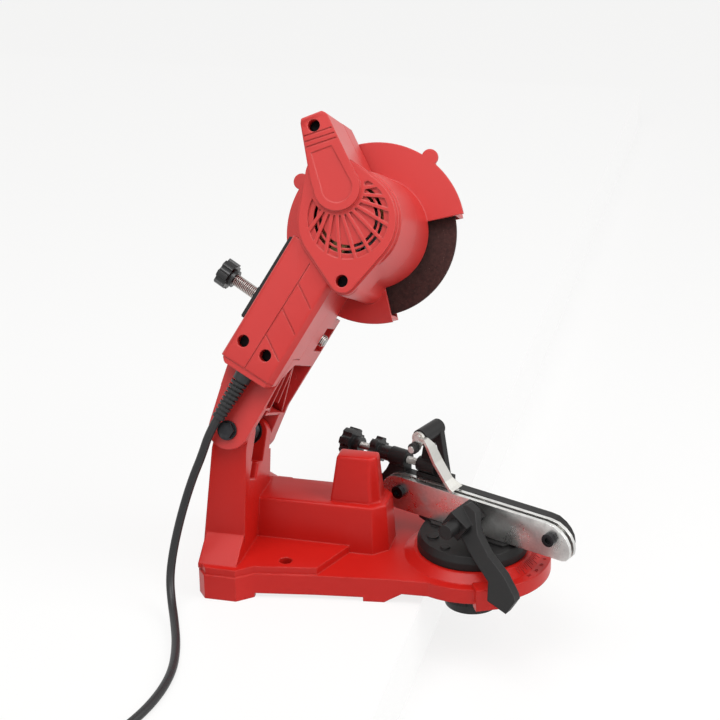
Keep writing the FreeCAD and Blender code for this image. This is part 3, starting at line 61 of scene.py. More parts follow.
def stage_white(name):
    """Pale surface whose seen colour is an even white with a small share of real shading."""
    real_share, pale = 0.17, 0.98
    mat = bpy.data.materials.new(name)
    mat.use_nodes = True
    tree = mat.node_tree
    tree.nodes.clear()
    out = tree.nodes.new("ShaderNodeOutputMaterial")
    body = tree.nodes.new("ShaderNodeBsdfPrincipled")
    body.inputs["Base Color"].default_value = (0.90, 0.90, 0.895, 1)
    body.inputs["Roughness"].default_value = 0.35
    glow = tree.nodes.new("ShaderNodeEmission")
    glow.inputs["Color"].default_value = (pale, pale * 0.998, pale * 0.993, 1)
    share = tree.nodes.new("ShaderNodeMath")
    share.operation = "MULTIPLY"
    share.inputs[1].default_value = 1 - real_share
    tree.links.new(seen_directly(tree), share.inputs[0])
    mix = tree.nodes.new("ShaderNodeMixShader")
    tree.links.new(share.outputs[0], mix.inputs[0])
    tree.links.new(body.outputs[0], mix.inputs[1])
    tree.links.new(glow.outputs[0], mix.inputs[2])
    tree.links.new(mix.outputs[0], out.inputs["Surface"])
    return mat


slab_thick = 0.046
bpy.ops.mesh.primitive_plane_add(size=8.0, location=(0, 0, -slab_thick))
ground = bpy.context.object
ground.name = "studio_ground"
bpy.ops.mesh.primitive_cube_add(size=1.0, location=(-0.44, 0.0, -slab_thick / 2))
slab = bpy.context.object
slab.name = "studio_slab"
slab.scale = (1.13, 2.4, slab_thick)
bpy.ops.object.transform_apply(location=True, rotation=True, scale=True)
for piece in (ground, slab):
    piece.data.materials.append(stage_white("stage_" + piece.name))

# The backdrop is seen as white, but lights the machine only softly.
world = bpy.data.worlds.new("studio_world")
bpy.context.scene.world = world
world.use_nodes = True
sky = world.node_tree
sky.nodes.clear()
sky_out = sky.nodes.new("ShaderNodeOutputWorld")
sky_mix = sky.nodes.new("ShaderNodeMixShader")
sky_light = sky.nodes.new("ShaderNodeBackground")
sky_light.inputs["Color"].default_value = (1, 1, 1, 1)
sky_light.inputs["Strength"].default_value = 0.34
sky_seen = sky.nodes.new("ShaderNodeBackground")
sky_seen.inputs["Color"].default_value = (1.0, 1.0, 0.995, 1)
sky_seen.inputs["Strength"].default_value = 1.0
sky.links.new(seen_directly(sky), sky_mix.inputs[0])
sky.links.new(sky_light.outputs[0], sky_mix.inputs[1])
sky.links.new(sky_seen.outputs[0], sky_mix.inputs[2])
sky.links.new(sky_mix.outputs[0], sky_out.inputs["Surface"])


def softbox(name, at, aim, size, watts):
    """A rectangular soft lamp that stands at one point and faces another."""
    bpy.ops.object.light_add(type="AREA", location=at)
    lamp = bpy.context.object
    lamp.name = name
    lamp.data.shape = "RECTANGLE"
    lamp.data.size, lamp.data.size_y = size
    lamp.data.energy = watts
    lamp.rotation_euler = (Vector(aim) - Vector(at)).to_track_quat("-Z", "Y").to_euler()


softbox("overhead_softbox", at=(-0.05, -0.45, 1.30), aim=(0.08, 0.0, 0.1), size=(0.9, 0.8), watts=12.0)
softbox("right_softbox", at=(1.05, -0.10, 0.88), aim=(0.10, 0.0, 0.15), size=(0.9, 0.9), watts=11.0)
softbox("front_softbox", at=(-0.55, -1.25, 0.80), aim=(0.05, 0.0, 0.12), size=(0.9, 0.9), watts=1.5)

# The camera looks down on the motor's side of the machine through a long lens.
eye = Vector((0.3602, -1.1441, 0.6549))
sight = Vector((-0.2222, 0.8911, -0.3955))
right, up = Vector((0.9703, 0.2419, 0.0)), Vector((-0.0957, 0.3838, 0.9184))
roll = math.radians(-0.6)
cam_x = math.cos(roll) * right + math.sin(roll) * up
cam_y = -math.sin(roll) * right + math.cos(roll) * up
turn = Matrix((cam_x, cam_y, -sight)).transposed().to_4x4()
bpy.ops.object.camera_add(location=(0, 0, 0))
camera = bpy.context.object
camera.matrix_world = Matrix.Translation(eye) @ turn
camera.data.sensor_width = 36.0
camera.data.lens = 100.07
camera.data.clip_end = 20.0
bpy.context.scene.camera = camera
bpy.context.scene.view_settings.view_transform = "Standard"
bpy.ops.object.select_all(action="DESELECT")


# ------------------------------------------------------------------ mains lead
# Round two-core lead, soft black PVC 5.6 mm thick. It drops out of the strain
# relief, runs over the bench and is put away in a neat coil with its plug beside it.
lead_thick = 0.0056
lead_run = [(-0.0045, -0.0536, 0.1224), (-0.0092, -0.0576, 0.1139), (-0.0140, -0.0610, 0.0980),
            (-0.0196, -0.0645, 0.0835), (-0.0260, -0.0690, 0.0615), (-0.0306, -0.0750, 0.0390),
            (-0.0318, -0.0825, 0.0205), (-0.0276, -0.0930, 0.0092), (-0.0210, -0.1075, 0.0044),
            (-0.0100, -0.1360, 0.0030), (-0.0025, -0.1680, 0.0031), (-0.0040, -0.2030, 0.0030),
            (-0.0140, -0.2370, 0.0030), (-0.0260, -0.2660, 0.0031)]
# The coil winds inwards on the bench, climbs within a quarter turn and winds outwards on top.
coil_x, coil_y, start_angle = 0.006, -0.300, math.radians(162.0)
outer_reach, inner_reach, lap_gap = 0.0412, 0.0234, 0.00575
lower_z, upper_z = 0.0030, 0.0088
inward_laps, climb_laps, points_per_lap = 3.10, 0.25, 16.0
coil_turns = []
for step in range(0, 101):
    lap = step / points_per_lap
    angle = start_angle + lap * 2 * math.pi
    if lap < inward_laps:
        reach, high = outer_reach - lap_gap * lap, lower_z
    elif lap < inward_laps + climb_laps:
        reach, high = inner_reach, lower_z + (upper_z - lower_z) * (lap - inward_laps) / climb_laps
    else:
        reach, high = inner_reach + lap_gap * (lap - inward_laps - climb_laps), upper_z
    coil_turns.append((coil_x + reach * math.cos(angle), coil_y + reach * math.sin(angle), high))
lead_tail = [(0.0260, -0.3430, 0.0070), (0.0480, -0.3360, 0.0042), (0.0650, -0.3240, 0.0040),
             (0.0720, -0.3050, 0.0070), (0.0720, -0.2860, 0.0070)]
route = lead_run + coil_turns + lead_tail
curve = bpy.data.curves.new("mains_lead", "CURVE")
curve.dimensions = "3D"
spline = curve.splines.new("NURBS")
spline.points.add(len(route) - 1)
for point, (x, y, z) in zip(spline.points, route):
    point.co = (x, y, z, 1)
spline.order_u = 3
spline.use_endpoint_u = True
spline.resolution_u = 8
curve.bevel_resolution = 5
curve.use_fill_caps = True
route_line = bpy.data.objects.new("route_line", curve)
bpy.context.scene.collection.objects.link(route_line)


def mesh_of_line(line, radius):
    """The mesh that a curve object draws with this bevel, or its bare line where the radius is 0."""
    line.data.bevel_depth = radius
    bpy.context.view_layer.update()
    return bpy.data.meshes.new_from_object(line.evaluated_get(bpy.context.evaluated_depsgraph_get()))


lead_path = [tuple(vertex.co) for vertex in mesh_of_line(route_line, 0.0).vertices]
tube = mesh_of_line(route_line, lead_thick / 2)
tube.name = "mains_lead"
bpy.data.objects.remove(route_line)
mains_lead = bpy.data.objects.new("mains_lead", tube)
bpy.context.scene.collection.objects.link(mains_lead)


def new_material(name, colour, rough, metal=0.0, specular=0.5):
    """A plain Principled material, its nodes and its shader."""
    mat = bpy.data.materials.new(name)
    mat.use_nodes = True
    shader = mat.node_tree.nodes["Principled BSDF"]
    shader.inputs["Base Color"].default_value = (*colour, 1)
    shader.inputs["Roughness"].default_value = rough
    shader.inputs["Metallic"].default_value = metal
    shader.inputs["Specular IOR Level"].default_value = specular
    return mat, mat.node_tree, shader


def moulded_group():
    """Shared effect: fine spark-eroded grain, cloudy tint and paler rubbed edges."""
    g = bpy.data.node_groups.new("moulded_skin", "ShaderNodeTree")
    face = g.interface
    for label, kind, value in (("Colour", "NodeSocketColor", (0.5, 0.02, 0.02, 1)),
                               ("Worn", "NodeSocketColor", (0.7, 0.2, 0.18, 1)),
                               ("Rough", "NodeSocketFloat", 0.45),
                               ("Grain", "NodeSocketFloat", 0.12),
                               ("Size", "NodeSocketFloat", 1400.0),
                               ("Wear", "NodeSocketFloat", 0.35),
                               ("Edge", "NodeSocketFloat", 0.0006)):
        face.new_socket(label, in_out="INPUT", socket_type=kind).default_value = value
    face.new_socket("Colour", in_out="OUTPUT", socket_type="NodeSocketColor")
    face.new_socket("Roughness", in_out="OUTPUT", socket_type="NodeSocketFloat")
    face.new_socket("Normal", in_out="OUTPUT", socket_type="NodeSocketVector")
    n, link = g.nodes, g.links.new
    given, out = n.new("NodeGroupInput"), n.new("NodeGroupOutput")
    place = n.new("ShaderNodeTexCoord")
    grain = n.new("ShaderNodeTexNoise")
    grain.inputs["Detail"].default_value = 3.0
    link(place.outputs["Object"], grain.inputs["Vector"])
    link(given.outputs["Size"], grain.inputs["Scale"])
    cloud = n.new("ShaderNodeTexNoise")
    cloud.inputs["Scale"].default_value = 26.0
    cloud.inputs["Detail"].default_value = 4.0
    link(place.outputs["Object"], cloud.inputs["Vector"])
    # rounded edges: the bevelled normal softens them and marks where they rub
    rounded = n.new("ShaderNodeBevel")
    rounded.samples = 6
    link(given.outputs["Edge"], rounded.inputs["Radius"])
    flat = n.new("ShaderNodeNewGeometry")
    dot = n.new("ShaderNodeVectorMath")
    dot.operation = "DOT_PRODUCT"
    link(rounded.outputs["Normal"], dot.inputs[0])
    link(flat.outputs["Normal"], dot.inputs[1])
    edge = n.new("ShaderNodeMapRange")
    edge.inputs["From Min"].default_value = 0.985
    edge.inputs["From Max"].default_value = 0.86
    link(dot.outputs["Value"], edge.inputs["Value"])
    patch = n.new("ShaderNodeMapRange")
    patch.inputs["From Min"].default_value = 0.38
    patch.inputs["From Max"].default_value = 0.62
    link(cloud.outputs["Fac"], patch.inputs["Value"])
    rub = n.new("ShaderNodeMath")
    rub.operation = "MULTIPLY"
    link(edge.outputs["Result"], rub.inputs[0])
    link(patch.outputs["Result"], rub.inputs[1])
    rubbed = n.new("ShaderNodeMath")
    rubbed.operation = "MULTIPLY"
    link(rub.outputs[0], rubbed.inputs[0])
    link(given.outputs["Wear"], rubbed.inputs[1])
    tint = n.new("ShaderNodeHueSaturation")
    lift = n.new("ShaderNodeMapRange")
    lift.inputs["To Min"].default_value = 0.94
    lift.inputs["To Max"].default_value = 1.06
    link(cloud.outputs["Fac"], lift.inputs["Value"])
    link(lift.outputs["Result"], tint.inputs["Value"])
    link(given.outputs["Colour"], tint.inputs["Color"])
    mix = n.new("ShaderNodeMix")
    mix.data_type = "RGBA"
    link(rubbed.outputs[0], mix.inputs["Factor"])
    link(tint.outputs["Color"], mix.inputs["A"])
    link(given.outputs["Worn"], mix.inputs["B"])
    link(mix.outputs["Result"], out.inputs["Colour"])
    spread = n.new("ShaderNodeMapRange")
    spread.inputs["To Min"].default_value = -0.05
    spread.inputs["To Max"].default_value = 0.05
    link(cloud.outputs["Fac"], spread.inputs["Value"])
    rough = n.new("ShaderNodeMath")
    rough.operation = "ADD"
    rough.use_clamp = True
    link(given.outputs["Rough"], rough.inputs[0])
    link(spread.outputs["Result"], rough.inputs[1])
    link(rough.outputs[0], out.inputs["Roughness"])
    bump = n.new("ShaderNodeBump")
    bump.inputs["Distance"].default_value = 0.00012
    link(given.outputs["Grain"], bump.inputs["Strength"])
    link(grain.outputs["Fac"], bump.inputs["Height"])
    link(rounded.outputs["Normal"], bump.inputs["Normal"])
    link(bump.outputs["Normal"], out.inputs["Normal"])
    return g


moulded_skin = moulded_group()


def moulded_material(name, colour, worn, rough, grain, size, wear, edge, specular):
    """Moulded plastic, rubber or cast skin: worn is the colour of rubbed edges, size the grain's scale."""
    mat, tree, shader = new_material(name, colour, rough, specular=specular)
    skin = tree.nodes.new("ShaderNodeGroup")
    skin.node_tree = moulded_skin
    skin.inputs["Colour"].default_value = (*colour, 1)
    skin.inputs["Worn"].default_value = (*worn, 1)
    for label, value in (("Rough", rough), ("Grain", grain), ("Size", size), ("Wear", wear), ("Edge", edge)):
        skin.inputs[label].default_value = value
    tree.links.new(skin.outputs["Colour"], shader.inputs["Base Color"])
    tree.links.new(skin.outputs["Roughness"], shader.inputs["Roughness"])
    tree.links.new(skin.outputs["Normal"], shader.inputs["Normal"])
    return mat


def dress(piece, mat):
    """Gives a piece this one material."""
    piece.data.materials.clear()
    piece.data.materials.append(mat)


def finish_nodes(mat, *names):
    """Gives CAD nodes this one material."""
    for name in names:
        dress(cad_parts[name], mat)


black_pvc = moulded_material("black_pvc", (0.016, 0.016, 0.017), (0.06, 0.06, 0.06),
                             rough=0.42, grain=0.10, size=900, wear=0.2, edge=0.0002, specular=0.35)
dress(mains_lead, black_pvc)
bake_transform(mains_lead)
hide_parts("power_cord", "cord_coil", "plug_lead")
finish_nodes(black_pvc, "power_plug")


# ------------------------------------------------------------------ plug
# Flat two-pin plug moulded onto the lead in the same black PVC as its jacket.
# Its round pins are nickel-plated brass with a turned finish.
pin_metal, tree, shader = new_material("nickel_pin", (0.72, 0.70, 0.66), rough=0.22, metal=1.0)
speck = tree.nodes.new("ShaderNodeTexNoise")
speck.inputs["Scale"].default_value = 900.0
ramp = tree.nodes.new("ShaderNodeMapRange")
ramp.inputs["To Min"].default_value = 0.16
ramp.inputs["To Max"].default_value = 0.30
tree.links.new(speck.outputs["Fac"], ramp.inputs["Value"])
tree.links.new(ramp.outputs["Result"], shader.inputs["Roughness"])
finish_nodes(pin_metal, "plug_pins")


# ------------------------------------------------------------------ strain relief
# Ribbed sleeve in the same soft black PVC. Its collar is clamped between the two
# halves of the grip, and the lead comes out of its lower end.
finish_nodes(black_pvc, "strain_relief")


# ------------------------------------------------------------------ base
# One thick moulding in red plastic: pillar with its fork, stepped ledge, stop block
# and the round nose that carries the turntable. Its upper edges are softly rounded.
base_red = moulded_material("base_red", (0.47, 0.0105, 0.0070), (0.66, 0.080, 0.065),
                            rough=0.36, grain=0.16, size=1100, wear=0.35, edge=0.0014, specular=0.24)


def softened_copy(node, name, width, room, turn_min=28.0, above=-1.0):
    """A copy of a moulding with flat faces merged and its long outer edges rounded by width, if any.

    An edge is rounded if it is at least room long, turns by turn_min degrees and lies higher than above.
    """
    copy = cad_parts[node].copy()
    copy.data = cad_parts[node].data.copy()
    copy.name = name
    # the frame's own marks on the node aren't carried over
    for key in list(copy.keys()):
        del copy[key]
    copy.parent = None
    bpy.context.scene.collection.objects.link(copy)
    bpy.ops.object.select_all(action="DESELECT")
    copy.select_set(True)
    bpy.context.view_layer.objects.active = copy
    if copy.data.has_custom_normals:
        bpy.ops.mesh.customdata_custom_splitnormals_clear()
    bpy.ops.object.mode_set(mode="EDIT")
    bpy.ops.mesh.select_mode(type="EDGE")
    bpy.ops.mesh.select_all(action="SELECT")
    weld_gap, flat_turn = 1e-6, math.radians(0.3)
    bpy.ops.mesh.remove_doubles(threshold=weld_gap)
    bpy.ops.mesh.dissolve_limited(angle_limit=flat_turn)
    bpy.ops.mesh.select_all(action="DESELECT")
    bpy.ops.object.mode_set(mode="OBJECT")
    # sides: the two faces of each edge; touching: the lengths of the edges that meet in a corner
    mesh = copy.data
    spots = [v.co.copy() for v in mesh.vertices]
    sides, touching = {}, {}
    for face in mesh.polygons:
        for key in face.edge_keys:
            sides.setdefault(key, []).append((face.normal.copy(), face.center.copy()))
    for key in sides:
        run = (spots[key[0]] - spots[key[1]]).length
        for corner in key:
            touching.setdefault(corner, []).append(run)
    for edge in mesh.edges:
        key = tuple(sorted(edge.vertices))
        pair = sides.get(key, [])
        if len(pair) != 2 or (spots[key[0]] - spots[key[1]]).length < room:
            continue
        (normal_a, centre_a), (normal_b, centre_b) = pair
        hollow = (centre_b - centre_a).dot(normal_a) > 0
        if hollow or math.degrees(normal_a.angle(normal_b, 0.0)) < turn_min:
            continue
        # a shorter neighbour leaves no space for the rounding
        if min(spots[c].z for c in key) > above and min(min(touching[c]) for c in key) > 2.2 * width:
            edge.select = True
    bpy.ops.object.mode_set(mode="EDIT")
    if width:
        bpy.ops.mesh.bevel(offset=width, segments=3, profile=0.5, affect="EDGES", clamp_overlap=False)
    bpy.ops.mesh.select_all(action="SELECT")
    bpy.ops.mesh.normals_make_consistent(inside=False)
    bpy.ops.object.mode_set(mode="OBJECT")
    bpy.ops.object.shade_smooth_by_angle(angle=math.radians(32))
    bpy.ops.object.select_all(action="DESELECT")
    return copy


base_shell = softened_copy("base_moulding", "base_shell", width=0.0016, room=0.005, above=0.030)
dress(base_shell, base_red)
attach(base_shell, "base")
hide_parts("base_moulding")


# ------------------------------------------------------------------ swivel scale
# Degree marks and plain numbers moulded proud on the rim of the nose, in the same red plastic,
# coloured a darker red as painted shade of their relief; they count from the chain rail set square to the wheel.
# darker than base_red: painted shade on the proud marks and numbers
scale_red_painted_shade = moulded_material("scale_red_painted_shade", (0.30, 0.008, 0.007), (0.50, 0.05, 0.05),
                             rough=0.5, grain=0.1, size=1100, wear=0.2, edge=0.0002, specular=0.4)
marks = []
rim_slope = math.atan2(0.0047, 0.0065)
slope_start, slope_top, number_base = 0.0385, 0.0217, 0.01712
swivel_axis = Matrix.Translation((0.15, 0, 0))
inner = 0.0394
for half_step in range(-14, 15):
    degree = half_step * 2.5
    around = swivel_axis @ Matrix.Rotation(math.radians(degree), 4, "Z")
    long_mark = half_step % 4 == 0
    outer = 0.0446 if long_mark else (0.0434 if half_step % 2 == 0 else 0.0422)
    middle = (inner + outer) / 2
    bpy.ops.mesh.primitive_cube_add(size=1.0)
    mark = bpy.context.object
    mark.scale = ((outer - inner) / math.cos(rim_slope), 0.00048, 0.0005)
    bpy.ops.object.transform_apply(location=True, rotation=True, scale=True)
    on_rim = (middle, 0, slope_top - (middle - slope_start) * math.tan(rim_slope))
    mark.data.transform(around @ Matrix.Translation(on_rim) @ Matrix.Rotation(rim_slope, 4, "Y"))
    marks.append(mark)
    if long_mark:
        bpy.ops.object.text_add()
        number = bpy.context.object
        number.data.body = str(abs(int(degree)))
        number.data.size = 0.0034
        number.data.extrude = 0.00012
        number.data.align_x, number.data.align_y = "CENTER", "CENTER"
        number.data.resolution_u = 3
        bpy.ops.object.convert(target="MESH")
        number = bpy.context.object
        number.data.transform(around @ Matrix.Translation((0.0480, 0, number_base))
                              @ Matrix.Rotation(math.radians(90), 4, "Z"))
        marks.append(number)
bpy.ops.object.select_all(action="DESELECT")
for mark in marks:
    mark.select_set(True)
bpy.context.view_layer.objects.active = marks[0]
bpy.ops.object.join()
swivel_scale = bpy.context.object
swivel_scale.name = "swivel_scale"
dress(swivel_scale, scale_red_painted_shade)
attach(swivel_scale, "base")
bpy.ops.object.select_all(action="DESELECT")


# ------------------------------------------------------------------ pivot
# Black-oxide bolt through the fork with its washer, and a plated lock nut behind.
# A black torsion spring round the bolt lifts the head when the hand lets go.
def steel_group():
    """Shared effect: drawn or rolled metal with fine lines, cloudy plating and dull spots."""
    g = bpy.data.node_groups.new("worked_steel", "ShaderNodeTree")
    for label, kind, value in (("Colour", "NodeSocketColor", (0.6, 0.6, 0.6, 1)),
                               ("Cloud", "NodeSocketColor", (0.4, 0.4, 0.42, 1)),
                               ("Rough", "NodeSocketFloat", 0.3), ("Lines", "NodeSocketFloat", 0.2),
                               ("Turn", "NodeSocketVector", (0, 0, 0)),
                               ("Stretch", "NodeSocketVector", (60, 900, 900)),
                               ("Edge", "NodeSocketFloat", 0.0003)):
        g.interface.new_socket(label, in_out="INPUT", socket_type=kind).default_value = value
    g.interface.new_socket("Colour", in_out="OUTPUT", socket_type="NodeSocketColor")
    g.interface.new_socket("Roughness", in_out="OUTPUT", socket_type="NodeSocketFloat")
    g.interface.new_socket("Normal", in_out="OUTPUT", socket_type="NodeSocketVector")
    n, link = g.nodes, g.links.new
    given, out = n.new("NodeGroupInput"), n.new("NodeGroupOutput")
    place = n.new("ShaderNodeTexCoord")
    lay = n.new("ShaderNodeMapping")
    link(place.outputs["Object"], lay.inputs["Vector"])
    link(given.outputs["Turn"], lay.inputs["Rotation"])
    link(given.outputs["Stretch"], lay.inputs["Scale"])
    lines = n.new("ShaderNodeTexNoise")
    lines.inputs["Scale"].default_value = 1.0
    lines.inputs["Detail"].default_value = 2.0
    link(lay.outputs["Vector"], lines.inputs["Vector"])
    cloud = n.new("ShaderNodeTexNoise")
    cloud.inputs["Scale"].default_value = 70.0
    cloud.inputs["Detail"].default_value = 6.0
    cloud.inputs["Roughness"].default_value = 0.65
    link(place.outputs["Object"], cloud.inputs["Vector"])
    spots = n.new("ShaderNodeMapRange")
    spots.inputs["From Min"].default_value = 0.42
    spots.inputs["From Max"].default_value = 0.68
    link(cloud.outputs["Fac"], spots.inputs["Value"])
    mix = n.new("ShaderNodeMix")
    mix.data_type = "RGBA"
    link(spots.outputs["Result"], mix.inputs["Factor"])
    link(given.outputs["Colour"], mix.inputs["A"])
    link(given.outputs["Cloud"], mix.inputs["B"])
    link(mix.outputs["Result"], out.inputs["Colour"])
    dull = n.new("ShaderNodeMath")
    dull.operation = "MULTIPLY_ADD"
    dull.inputs[1].default_value = 0.16
    dull.use_clamp = True
    link(spots.outputs["Result"], dull.inputs[0])
    link(given.outputs["Rough"], dull.inputs[2])
    link(dull.outputs[0], out.inputs["Roughness"])
    rounded = n.new("ShaderNodeBevel")
    rounded.samples = 6
    link(given.outputs["Edge"], rounded.inputs["Radius"])
    bump = n.new("ShaderNodeBump")
    bump.inputs["Distance"].default_value = 0.00005
    link(given.outputs["Lines"], bump.inputs["Strength"])
    link(lines.outputs["Fac"], bump.inputs["Height"])
    link(rounded.outputs["Normal"], bump.inputs["Normal"])
    link(bump.outputs["Normal"], out.inputs["Normal"])
    return g


worked_steel = steel_group()


def steel_material(name, colour, cloud, rough, lines, turn=(0, 0, 0), stretch=(60, 900, 900)):
    """Worked metal: cloud is the colour of its dull spots, turn and stretch lay its fine lines."""
    mat, tree, shader = new_material(name, colour, rough, metal=1.0)
    work = tree.nodes.new("ShaderNodeGroup")
    work.node_tree = worked_steel
    work.inputs["Colour"].default_value = (*colour, 1)
    work.inputs["Cloud"].default_value = (*cloud, 1)
    for label, value in (("Rough", rough), ("Lines", lines), ("Turn", turn), ("Stretch", stretch)):
        work.inputs[label].default_value = value
    tree.links.new(work.outputs["Colour"], shader.inputs["Base Color"])
    tree.links.new(work.outputs["Roughness"], shader.inputs["Roughness"])
    tree.links.new(work.outputs["Normal"], shader.inputs["Normal"])
    return mat


black_oxide = steel_material("black_oxide", (0.040, 0.040, 0.043), (0.018, 0.018, 0.020), rough=0.30, lines=0.3)
zinc_plate = steel_material("zinc_plate", (0.62, 0.62, 0.60), (0.46, 0.46, 0.45), rough=0.26, lines=0.2)
finish_nodes(black_oxide, "pivot_bolt", "pivot_washer")
finish_nodes(zinc_plate, "pivot_lock_nut")

# post_place takes the pivot's own directions, Z along the bolt, to the frame.
lean = math.radians(25.2)
post_place = Matrix(((1, 0, 0, 0.0), (0, math.sin(lean), -math.cos(lean), 0.011152),
                     (0, math.cos(lean), math.sin(lean), 0.0838), (0, 0, 0, 1)))
wire_r, coil_r, coil_pitch, coil_start = 0.00105, 0.0071, 0.00228, 0.0193
bpy.ops.mesh.primitive_circle_add(vertices=12, radius=wire_r, fill_type="NOTHING")
return_coil = bpy.context.object
return_coil.name = "return_coil"
return_coil.data.transform(Matrix.Translation((coil_r, 0, coil_start)) @ Matrix.Rotation(math.radians(90), 4, "X"))
winding = return_coil.modifiers.new("winding", "SCREW")
winding.axis = "Z"
winding.screw_offset = coil_pitch
winding.iterations = 10
winding.steps = winding.render_steps = 28
winding.use_merge_vertices = True
bpy.ops.object.modifier_apply(modifier="winding")
bpy.ops.object.mode_set(mode="EDIT")
bpy.ops.mesh.select_all(action="SELECT")
bpy.ops.mesh.select_non_manifold(extend=False)
bpy.ops.mesh.edge_face_add()
bpy.ops.mesh.select_all(action="SELECT")
bpy.ops.mesh.normals_make_consistent(inside=False)
bpy.ops.object.mode_set(mode="OBJECT")
# the spring's straight leg
bpy.ops.mesh.primitive_cylinder_add(vertices=14, radius=wire_r, depth=0.0118, location=(-0.001, -0.0128, 0.0274),
                                    rotation=(math.radians(90), 0, 0))
bpy.ops.object.transform_apply(location=True, rotation=True, scale=True)
return_coil.select_set(True)
bpy.context.view_layer.objects.active = return_coil
bpy.ops.object.join()
return_coil.data.transform(post_place)
bpy.ops.object.shade_smooth_by_angle(angle=math.radians(40))
dress(return_coil, black_oxide)
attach(return_coil, "base")
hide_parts("return_spring")
bpy.ops.object.select_all(action="DESELECT")


# ------------------------------------------------------------------ arm and wheel guard
# Far half of the head in red ABS: hinge cheeks, the ribbed hollow under the arm, the
# drum's root and the curved wheel guard, closed behind by a thin screwed cover.
head_red = moulded_material("head_red", (0.48, 0.026, 0.023), (0.72, 0.22, 0.20),
                            rough=0.38, grain=0.22, size=1300, wear=0.35, edge=0.0010, specular=0.40)
guard_red = moulded_material("guard_red", (0.46, 0.025, 0.022), (0.68, 0.18, 0.16),
                             rough=0.40, grain=0.18, size=1300, wear=0.35, edge=0.0006, specular=0.30)
arm_shell = softened_copy("arm_moulding", "arm_shell", width=0, room=0.005)
# head_place takes the head's own directions to the frame: u along the arm, v across it
# and height along the spindle, all from the pivot. The lists below are in them, in mm.
head_place = post_place @ Matrix.Rotation(math.radians(63.1), 4, "Z")
head_mm = head_place @ Matrix.Scale(0.001, 4)


def head_prism(name, outline, push):
    """A prism in the head's own directions: outline points and push as (u, v, height) in mm."""
    bpy.ops.mesh.primitive_circle_add(vertices=len(outline), radius=1.0, fill_type="NGON")
    prism = bpy.context.object
    prism.name = name
    for vertex, spot in zip(prism.data.vertices, outline):
        vertex.co = spot
    bpy.ops.object.mode_set(mode="EDIT")
    bpy.ops.mesh.select_all(action="SELECT")
    bpy.ops.mesh.extrude_region_move(TRANSFORM_OT_translate={"value": push})
    bpy.ops.mesh.select_all(action="SELECT")
    bpy.ops.mesh.normals_make_consistent(inside=False)
    bpy.ops.object.mode_set(mode="OBJECT")
    prism.data.transform(head_mm)
    return prism


def carve_with(body, tools):
    """Cuts each tool out of the body, in order, and smooths the body's shading again."""
    for tool in tools:
        bpy.ops.object.select_all(action="DESELECT")
        bpy.context.view_layer.objects.active = body
        body.select_set(True)
        carve = body.modifiers.new("carve", "BOOLEAN")
        carve.operation = "DIFFERENCE"
        carve.solver = "EXACT"
        carve.object = tool
        bpy.ops.object.modifier_apply(modifier="carve")
        bpy.data.objects.remove(tool)
    bpy.ops.object.shade_smooth_by_angle(angle=math.radians(30))


# The hollow under the arm: outlines in u and height, cut from below up to its floor.
deep = [(19.8, -6.9), (19.8, 42.6), (23.6, 42.6), (23.6, 63.0), (46.0, 63.0), (49.5, 57.0), (49.5, 33.5),
        (55.9, 33.5), (55.9, -6.9)]
shallow = [(40.0, 62.9), (46.2, 62.9), (56.2, 47.5), (56.2, 30.0), (40.0, 30.0)]
below, deep_cut, shallow_cut = -30.0, 33.4, 25.8
carve_with(arm_shell, [head_prism("deep_room", [(u, below, h) for u, h in deep], (0, deep_cut, 0)),
                       head_prism("shallow_room", [(u, below, h) for u, h in shallow], (0, shallow_cut, 0))])
# Long thin ribs stand in the hollow; each has its two ends and the v of its free edge.
rib_half, rib_root = 0.65, 3.8
ribs = []
for (u0, h0), (u1, h1), front in (((21.0, 56.6), (38.0, 64.0), -11.0), ((19.2, 36.2), (49.9, 50.0), -9.6),
                                  ((27.0, 24.0), (51.5, 39.2), -8.8), ((19.4, -4.6), (53.0, 34.6), -7.4)):
    run = math.hypot(u1 - u0, h1 - h0)
    du, dh = rib_half * (h1 - h0) / run, rib_half * (u1 - u0) / run
    outline = [(u0 + du, front, h0 - dh), (u1 + du, front, h1 - dh),
               (u1 - du, front, h1 + dh), (u0 - du, front, h0 + dh)]
    ribs.append(head_prism("arm_rib", outline, (0, rib_root - front, 0)))
# The thin far wall runs on past the notch of the depth stop.
wall = [(67.2, -7.5, -10.0), (85.3, -7.5, -10.0), (85.3, -1.2, -10.0), (67.2, -1.2, -10.0)]
ribs.append(head_prism("notch_wall", wall, (0, 0, 2.2)))
bpy.ops.object.select_all(action="DESELECT")
for rib in ribs:
    rib.select_set(True)
bpy.context.view_layer.objects.active = ribs[0]
bpy.ops.object.join()
arm_ribs = bpy.context.object
arm_ribs.name = "arm_ribs"
dress(arm_ribs, head_red)
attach(arm_ribs, "head")
dress(arm_shell, head_red)
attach(arm_shell, "head")
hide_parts("arm_moulding")
finish_nodes(guard_red, "guard_cover")
# The screws get an oxide painted darker than black_oxide: painted shade, as the housing screws sit deep in their
# wells.
oxide_painted_shade = steel_material("oxide_painted_shade", (0.014, 0.014, 0.015), (0.008, 0.008, 0.009), rough=0.60, lines=0.3)
finish_nodes(oxide_painted_shade, "guard_cover_screws", "housing_screws")
finish_nodes(zinc_plate, "depth_nut")


# ------------------------------------------------------------------ motor cover
# Near half of the head, screwed on. The grip is decorated with moulded lines, and the
# handle boss has a sunk panel with three cross grooves above it; all are carved here.
cover = softened_copy("motor_cover", "motor_cover_carved", width=0.0011, room=0.005, turn_min=24.0)


